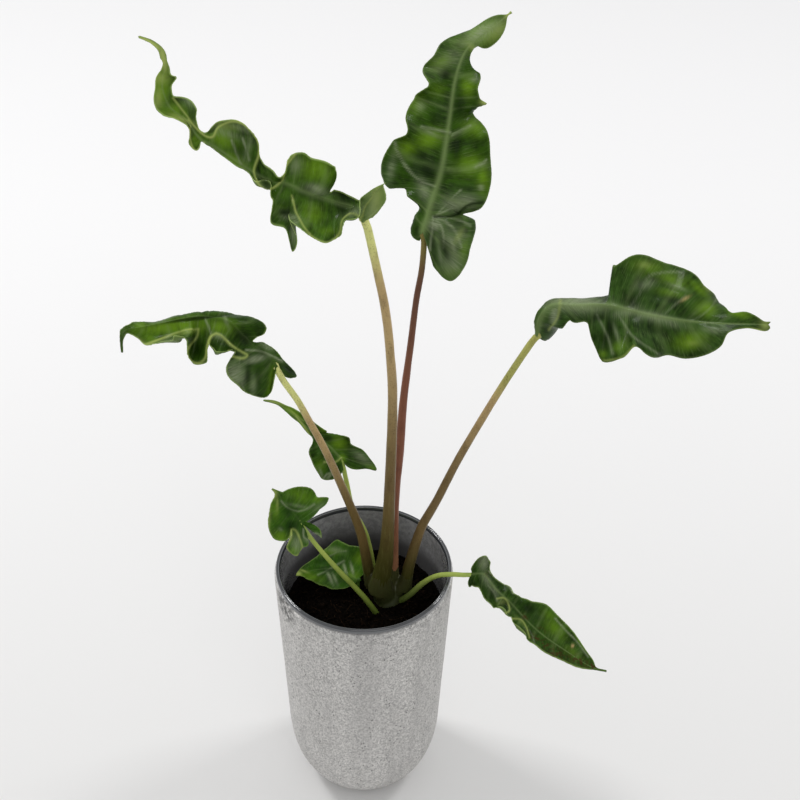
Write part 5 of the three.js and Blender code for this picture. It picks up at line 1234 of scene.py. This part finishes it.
def stem_base_form():
    points, faces = corm_form()
    heart = np.array([*CORM["centre"], CORM["top"] - CORM["heart_depth"]], float)
    for name, share in SHEATHED.items():
        thickness = LEAVES[name]["thickness"]
        sheath, sheath_faces, _ = tube(STALKS[name], thickness, SHEATH_RINGS, SHEATH_AROUND, share,
                                       extra=SHEATH_EXTRA)
        join(points, faces, sheath.tolist(), sheath_faces)
        foot = STALKS[name].at(np.array([share * ROOT_MEETS]))[0]
        sunk = Path([heart, 0.6 * foot + 0.4 * heart, foot])
        root, root_faces, _ = tube(sunk, [thickness[0]] * 2, ROOT_RINGS, SHEATH_AROUND)
        join(points, faces, root.tolist(), root_faces)
    return points, faces


print("sheathed stalks:", len(SHEATHED))

# %% Fused stem base
FUSE_VOXEL = 0.0009
FUSE_PASSES = 6
BASE_FROM = 170
BASE_RISE = 36
BASE_TONES = {"Foot": (0.03, 0.04, 0.01), "Middle": (0.05, 0.055, 0.015), "Tan": (0.06, 0.06, 0.018),
              "Top": (0.065, 0.062, 0.02), "Middle from": 0.5, "Tan from": 0.7, "Flecks": 0.4}


def fuse(piece, voxel, passes):
    """Turns overlapping closed forms into one smooth skin."""
    remesh = piece.modifiers.new("fuse", "REMESH")
    remesh.mode = "VOXEL"
    remesh.voxel_size = voxel
    even = piece.modifiers.new("even", "SMOOTH")
    even.iterations = passes
    even.factor = 0.5
    shape = piece.evaluated_get(bpy.context.evaluated_depsgraph_get())
    mesh = bpy.data.meshes.new_from_object(shape)
    piece.modifiers.clear()
    piece.data = mesh
    shade(mesh, True)
    return mesh


base_material = new_material("stem base", STALK_GROUP, BASE_TONES, STALK_BUMP, Coat_Weight=0.1)
stem_base = make_piece("stem_base_sheaths", *stem_base_form(), base_material, "stem_base", "stem_base")
skin = fuse(stem_base, FUSE_VOXEL, FUSE_PASSES)
heights = np.array([vertex.co.z for vertex in skin.vertices]) / MM
add_mark(skin, "along", np.clip((heights - BASE_FROM) / BASE_RISE, 0, 1))
print("stem base faces:", len(skin.polygons))


# %% [markdown]
# ## Soil
# Moist potting soil is nearly black, with crumbs and a few fibres. A bump alone would look flat at the rim,
# so the top is displaced by noise and strewn with loose crumbs and bent fibres, all from one seed.

# %% Soil plug
SOIL_RADIUS = 55.4
SOIL_TOP = 172.2
SOIL_DROP = 2.5
SOIL_FOOT = (46, 100.3)
SOIL_RINGS = 70
SOIL_FIRST_RING = 0.2
SOIL_AROUND = 200
SOIL_LUMP = 9
SOIL_ROUGH = {1: 1.3, 3.1: 0.7, 9: 0.35}


def soil_height(x, y):
    radius = math.hypot(x, y) / SOIL_RADIUS
    spot = Vector((x / SOIL_LUMP, y / SOIL_LUMP, 0))
    rough = sum(noise.noise(spot * finer) * height for finer, height in SOIL_ROUGH.items())
    return SOIL_TOP - SOIL_DROP * radius**3 + rough


def soil_form():
    points = []
    for ring in range(SOIL_RINGS):
        radius = SOIL_RADIUS * (ring + SOIL_FIRST_RING) / (SOIL_RINGS - 1 + SOIL_FIRST_RING)
        for turn in full_turn(SOIL_AROUND):
            x, y = radius * math.cos(turn), radius * math.sin(turn)
            points.append((x, y, soil_height(x, y)))
    radius, height = SOIL_FOOT
    points += [(radius * math.cos(turn), radius * math.sin(turn), height) for turn in full_turn(SOIL_AROUND)]
    rows = SOIL_RINGS + 1
    faces = grid_faces(rows, SOIL_AROUND, closed=True) + end_faces(rows, SOIL_AROUND)
    return points, [face[::-1] for face in faces]


print("soil height in the middle, in mm:", round(soil_height(0, 0), 1))

# %% Crumbs and fibres
CRUMBS = 1500
CRUMB_REACH = 0.97
CRUMB_SIZE = (0.5, 1.0)
LARGE_CRUMBS = 0.08
LARGE_CRUMB = 2.2
CRUMB_STRETCH = (0.6, 1.4)
CRUMB_ROUGH = (0.8, 1.2)
CRUMB_LIFT = 0.25
CRUMB_CUBE = [(a, b, c) for a in (-1, 1) for b in (-1, 1) for c in (-1, 1)]
CRUMB_PEAKS = [(1.5, 0, 0), (-1.5, 0, 0), (0, 1.5, 0), (0, -1.5, 0), (0, 0, 1.5), (0, 0, -1.5)]
CRUMB_CORNERS = unit(np.array(CRUMB_CUBE + CRUMB_PEAKS, float))
CRUMB_SIDES = {8: (4, 6, 7, 5), 9: (0, 1, 3, 2), 10: (2, 3, 7, 6), 11: (0, 4, 5, 1), 12: (1, 5, 7, 3),
               13: (0, 2, 6, 4)}
CRUMB_FACES = [(peak, side[k], side[(k + 1) % 4]) for peak, side in CRUMB_SIDES.items() for k in range(4)]
FIBRES = 130
FIBRE_REACH = 0.85
FIBRE_EDGE = 0.95
FIBRE_LENGTH = (4, 15)
FIBRE_BEND = 0.5
FIBRE_LIFT = (0.2, 1.1)
FIBRE_RADII = [0.24, 0.2, 0.1]
FIBRE_STEPS = 4
FIBRE_RINGS = 8
FIBRE_SIDES = 4
FIBRE_SAMPLES = 40
dice = np.random.default_rng(7)


def crumbs_form():
    points, faces = [], []
    for _ in range(CRUMBS):
        radius = SOIL_RADIUS * CRUMB_REACH * math.sqrt(dice.random())
        turn = dice.random() * 2 * math.pi
        x, y = radius * math.cos(turn), radius * math.sin(turn)
        size = dice.uniform(*CRUMB_SIZE) * (LARGE_CRUMB if dice.random() < LARGE_CRUMBS else 1)
        stretch = dice.uniform(*CRUMB_STRETCH, 3) * size
        corners = CRUMB_CORNERS * stretch * dice.uniform(*CRUMB_ROUGH, (len(CRUMB_CORNERS), 1))
        spin = dice.random() * math.pi
        turned_x = corners[:, 0] * math.cos(spin) - corners[:, 1] * math.sin(spin)
        turned_y = corners[:, 0] * math.sin(spin) + corners[:, 1] * math.cos(spin)
        base = soil_height(x, y) + size * CRUMB_LIFT
        crumb = np.column_stack([turned_x + x, turned_y + y, corners[:, 2] + base])
        join(points, faces, crumb.tolist(), CRUMB_FACES)
    return points, faces


def fibres_form():
    points, faces = [], []
    for _ in range(FIBRES):
        radius = SOIL_RADIUS * FIBRE_REACH * math.sqrt(dice.random())
        turn, heading = dice.random(2) * 2 * math.pi
        x, y = radius * math.cos(turn), radius * math.sin(turn)
        step = dice.uniform(*FIBRE_LENGTH) / FIBRE_STEPS
        line = []
        for _ in range(FIBRE_STEPS):
            heading += dice.uniform(-FIBRE_BEND, FIBRE_BEND)
            line.append([x, y, soil_height(x, y) + dice.uniform(*FIBRE_LIFT)])
            x, y = x + step * math.cos(heading), y + step * math.sin(heading)
            out = max(math.hypot(x, y) / (SOIL_RADIUS * FIBRE_EDGE), 1)
            x, y = x / out, y / out
        fibre, fibre_faces, _ = tube(Path(line, FIBRE_SAMPLES), FIBRE_RADII, FIBRE_RINGS, FIBRE_SIDES)
        join(points, faces, fibre.tolist(), fibre_faces)
    return points, faces


print("faces of a crumb:", len(CRUMB_FACES))

# %% Soil surface
SOIL_COLOURS = {"Deep": (0.001, 0.0008, 0.0006), "Crumb": (0.007, 0.0045, 0.003)}
CRUMB_TONES = {"Crumb": (0.011, 0.0065, 0.004)}
FIBRE_TONES = {"Deep": (0.012, 0.006, 0.003), "Crumb": (0.04, 0.023, 0.012)}
SOIL_BUMP = (0.8, 0.0012)
CRUMB_BUMP = (0.6, 0.0006)
FIBRE_BUMP = (0.4, 0.0003)


def soil_group():
    tree, given, out = new_group("Soil surface", SOIL_COLOURS)
    lumps = grain(tree, scale=500, detail=5, rough=0.7)
    feed(tree, out["Colour"], mix(tree, span(tree, lumps, 0.4, 0.68), given["Deep"], given["Crumb"]))
    feed(tree, out["Roughness"], span(tree, lumps, 0.3, 0.7, 0.75, 0.98))
    feed(tree, out["Height"], lumps)
    return tree


SOIL_GROUP = soil_group()
soil_material = new_material("soil", SOIL_GROUP, {}, SOIL_BUMP, Specular_IOR_Level=0.02)
crumb_material = new_material("crumbs", SOIL_GROUP, CRUMB_TONES, CRUMB_BUMP, Specular_IOR_Level=0.02)
fibre_material = new_material("fibres", SOIL_GROUP, FIBRE_TONES, FIBRE_BUMP, Specular_IOR_Level=0.05)
make_piece("soil_plug", *soil_form(), soil_material, "soil", "soil")
crumbs = make_piece("soil_crumbs", *crumbs_form(), crumb_material, None, "soil")
make_piece("soil_fibres", *fibres_form(), fibre_material, None, "soil")
shade(crumbs.data, False)
print("soil pieces:", CRUMBS, "crumbs and", FIBRES, "fibres")


# %% [markdown]
# ## Grow liner
# The liner is thin smoky plastic, moulded with a rolled lip and a step for stacking. It is round, so a screw
# modifier could turn its section. A loop does the same here, because it also serves the pot, whose points
# have to move. Fine rings on the lip, a little paler, are painted highlights; a pale band at the top of the
# inner wall is painted light, broken by specks.

# %% Turned forms
def turned(profile, around, shift=None):
    """Turns a section of radius and height round the axis; shift may move each point."""
    points = []
    for radius, height in profile:
        for turn in full_turn(around):
            reach = radius + (shift(radius, height, turn) if shift else 0)
            points.append((reach * math.cos(turn), reach * math.sin(turn), height))
    return points


def turned_faces(rows, around):
    return grid_faces(rows, around, closed=True) + end_faces(rows, around)


def rounded(profile, per_step):
    """A section with more points, on a smooth curve through the given ones."""
    places = np.linspace(0, len(profile) - 1, (len(profile) - 1) * per_step + 1)
    return smooth(profile, places).tolist()


LINER_AROUND = 160
LIP_POINTS_PER_STEP = 4
LINER_LIP = [(60.4, 204.6), (60.9, 205.35), (62.0, 205.4), (62.5, 206.2), (62.4, 207.6), (62.0, 208.6),
             (61.3, 209.0), (60.8, 208.55), (60.3, 208.8), (59.8, 208.3), (59.4, 207.2), (59.25, 205.5)]
LINER_INSIDE = [(59.2, 203.0), (59.15, 197.0), (59.1, 190.5), (58.6, 188.0), (57.7, 184.5), (57.2, 181.0),
                (56.2, 170.0), (51.0, 135.0), (46.3, 101.0), (0.5, 100.0)]
LINER_OUTSIDE = [(0.5, 98.8), (46.8, 98.8), (47.4, 101.0), (52.2, 135.0), (57.5, 172.0), (58.9, 184.0),
                 (60.3, 189.8), (60.4, 197.0)]
section = LINER_OUTSIDE + rounded(LINER_LIP, LIP_POINTS_PER_STEP) + LINER_INSIDE
print("liner section points:", len(section))

# %% Liner surface
# Band is painted light: a paler band at the top of the inner wall.
LINER_COLOURS = {"Smoke": (0.1, 0.098, 0.1), "Painted_light_band": (0.4, 0.4, 0.405), "Lip": (0.04, 0.043, 0.048),
                 # Ring is the paler colour of painted highlights on the lip.
                 "Painted_highlight_ring": (0.132, 0.138, 0.144)}
LINER_BUMP = (0.04, 0.0002)
PAINTED_LIGHT_BAND_HEIGHTS = (0.176, 0.2)
LIP_HEIGHTS = (0.2056, 0.2066)
PAINTED_HIGHLIGHT_RING_HEIGHTS = (0.2055, 0.2065)
LIP_PAINTED_HIGHLIGHTS = ((0.0625, 0.0003), (0.0602, 0.0004))


def liner_group():
    tree, given, out = new_group("Liner surface", LINER_COLOURS)
    reach = new_node(tree, "VectorMath", place(tree, stretch=(1, 1, 0)), operation="LENGTH").outputs["Value"]
    height = parts(tree, place(tree))["Z"]
    spots = grain(tree, scale=260, detail=5, rough=0.75)
    above = span(tree, height, *PAINTED_HIGHLIGHT_RING_HEIGHTS)
    # A paler band of painted light at the top of the inner wall, broken by specks.
    painted_light_band = times(tree, span(tree, height, *PAINTED_LIGHT_BAND_HEIGHTS), span(tree, spots, 0.4, 0.62, 0.6, 1))
    steps = [(painted_light_band, "Painted_light_band"), (span(tree, height, *LIP_HEIGHTS), "Lip")]
    # Paler rings on the lip are painted highlights.
    for middle, half in LIP_PAINTED_HIGHLIGHTS:
        off = sums(tree, "ABSOLUTE", sums(tree, "SUBTRACT", reach, middle))
        steps.append((times(tree, above, span(tree, off, half * 0.4, half, 0.75, 0)), "Painted_highlight_ring"))
    feed(tree, out["Colour"], lay(tree, given["Smoke"], given, steps))
    feed(tree, out["Roughness"], span(tree, spots, 0.4, 0.7, 0.08, 0.16))
    feed(tree, out["Height"], grain(tree, stretch=(0.02, 0.02, 1), scale=900, detail=2))
    return tree


liner_material = new_material("liner plastic", liner_group(), {}, LINER_BUMP, Coat_Weight=1.0,
                              Coat_Roughness=0.04)
liner = make_piece("liner_cup", turned(section, LINER_AROUND), turned_faces(len(section), LINER_AROUND),
                   liner_material, "liner", "liner_plastic")
print("liner faces:", len(liner.data.polygons))


# %% [markdown]
# ## Concrete pot
# The pot is cast concrete, straight at the top and round at the foot, with upright streaks, pits and a worn
# top edge. A picture of concrete could cover a smooth form, but it would show a seam and a flat outline. So
# the form is turned and noise moves its wall in and out by fractions of a millimetre, before the surface
# shader adds the finer grain.

# %% Pot form
POT_AROUND = 300
POT_CURVE_STEPS = 36
POT_WALL_STEPS = 110
POT = {"foot": 28, "shoulder": 57, "shoulder_height": 60, "rim": 63.5, "rim_height": 203.6}
POT_TOP = [(63.3, 204.5), (62.9, 204.9), (61.5, 205.0), (60.8, 204.9)]
POT_INSIDE = [(60.7, 204.0), (60.7, 190.0), (59.2, 182.0), (50.0, 60.0), (45.0, 28.0), (32.0, 12.5),
              (21.0, 10.0)]
FOOT_FLAT = 0.5
WEAR_RADIUS = 63
WALL_IN = 0.2
STREAK_DEPTH = 0.09
STREAK_SIZE = (1.6, 1.6, 9)
LUMP_DEPTH = 0.075
LUMP_SIZE = 14
PIT_SIZE = 2.3
PIT_DEPTH = 1.4
PIT_FROM = 0.42
CHIP_SIZE = 4
CHIP_DEPTH = 1.1
CHIPS_FROM = 199
CHIPS_FULL = 205
CHIPS_MORE = 0.1


def pot_shift(radius, height, turn):
    """Streaks, pits and chips of the outer wall."""
    if radius < POT["foot"] + FOOT_FLAT:
        return 0
    where = Vector((math.cos(turn) * WEAR_RADIUS, math.sin(turn) * WEAR_RADIUS, height))
    streaks = noise.noise(Vector([value / size for value, size in zip(where, STREAK_SIZE)]))
    lumps = noise.noise(where / LUMP_SIZE)
    pits = max(0, noise.noise(where / PIT_SIZE) - PIT_FROM)
    chips = max(0, (height - CHIPS_FROM) / (CHIPS_FULL - CHIPS_FROM))
    chips = chips * max(0, noise.noise(where / CHIP_SIZE) + CHIPS_MORE)
    return STREAK_DEPTH * streaks + LUMP_DEPTH * lumps - PIT_DEPTH * pits - CHIP_DEPTH * chips - WALL_IN


def pot_outside():
    """A quarter curve from the foot to the shoulder, then a straight wall to the rim."""
    foot, shoulder, low, rim, high = POT.values()
    turns = np.linspace(0, np.pi / 2, POT_CURVE_STEPS)
    curve = [(foot + (shoulder - foot) * math.sin(turn), low * (1 - math.cos(turn))) for turn in turns]
    wall = [(shoulder + (rim - shoulder) * share, low + (high - low) * share)
            for share in np.linspace(0, 1, POT_WALL_STEPS)[1:]]
    return curve + wall + POT_TOP


print("pot section points:", len(pot_outside()) + len(POT_INSIDE))

# %% Concrete surface
CONCRETE_COLOURS = {"Light": (0.76, 0.745, 0.72), "Grey": (0.3, 0.295, 0.29), "Pit": (0.06, 0.06, 0.058)}
CONCRETE_BUMP = (0.35, 0.0004)
WORN_HEIGHTS = (0.192, 0.203)
CHIP_PLACE = (-0.054, -0.032, 0.199)
CHIP_REACH = (0.006, 0.017)


def pot_group():
    tree, given, out = new_group("Concrete surface", CONCRETE_COLOURS)
    upright = grain(tree, stretch=(1, 1, 0.2), scale=330, detail=4, rough=0.6)
    sand = grain(tree, stretch=(1, 1, 0.8), scale=2300, detail=2, rough=0.7)
    cloud = grain(tree, stretch=(1, 1, 0.06), scale=55, detail=3)
    grit = specks(tree, stretch=(1, 1, 0.8), scale=1150, output="Color")
    tone = plus(tree, times(tree, upright, 0.12), times(tree, sand, 0.38))
    tone = plus(tree, tone, times(tree, grit, 0.5))
    holes = span(tree, specks(tree, stretch=(1, 1, 0.6), scale=420), 0.1, 0.3, 1, 0)
    rare = span(tree, grain(tree, stretch=(1, 1, 0.3), scale=130, detail=2), 0.47, 0.6)
    worn = times(tree, span(tree, parts(tree, place(tree))["Z"], *WORN_HEIGHTS),
                 span(tree, grain(tree, scale=210, detail=4, rough=0.7), 0.5, 0.58))
    from_chip = new_node(tree, "VectorMath", place(tree), operation="DISTANCE")
    from_chip.inputs[1].default_value = CHIP_PLACE
    chipped = times(tree, span(tree, from_chip.outputs["Value"], *CHIP_REACH, 1, 0),
                    span(tree, grain(tree, scale=260, detail=4, rough=0.7), 0.44, 0.52))
    worn = sums(tree, "MAXIMUM", times(tree, worn, 0.35), chipped)
    pit = sums(tree, "MAXIMUM", times(tree, holes, rare), worn)
    grey = mix(tree, span(tree, tone, 0.15, 0.8), given["Grey"], given["Light"])
    feed(tree, out["Colour"], lay(tree, grey, given, [
        (span(tree, cloud, 0.4, 0.7, 0, 0.3), "Grey"),
        (times(tree, pit, 0.8), "Pit"),
    ]))
    feed(tree, out["Roughness"], span(tree, sand, 0.3, 0.7, 0.8, 0.98))
    feed(tree, out["Height"], sums(tree, "SUBTRACT", tone, times(tree, pit, 0.9)))
    return tree


pot_material = new_material("concrete", pot_group(), {}, CONCRETE_BUMP)
outside = turned(pot_outside(), POT_AROUND, pot_shift)
inside = turned(POT_INSIDE, POT_AROUND)
pot_faces = turned_faces((len(outside) + len(inside)) // POT_AROUND, POT_AROUND)
make_piece("pot_shell", outside + inside, pot_faces, pot_material, "pot", "concrete")
print("pot faces:", len(pot_faces))
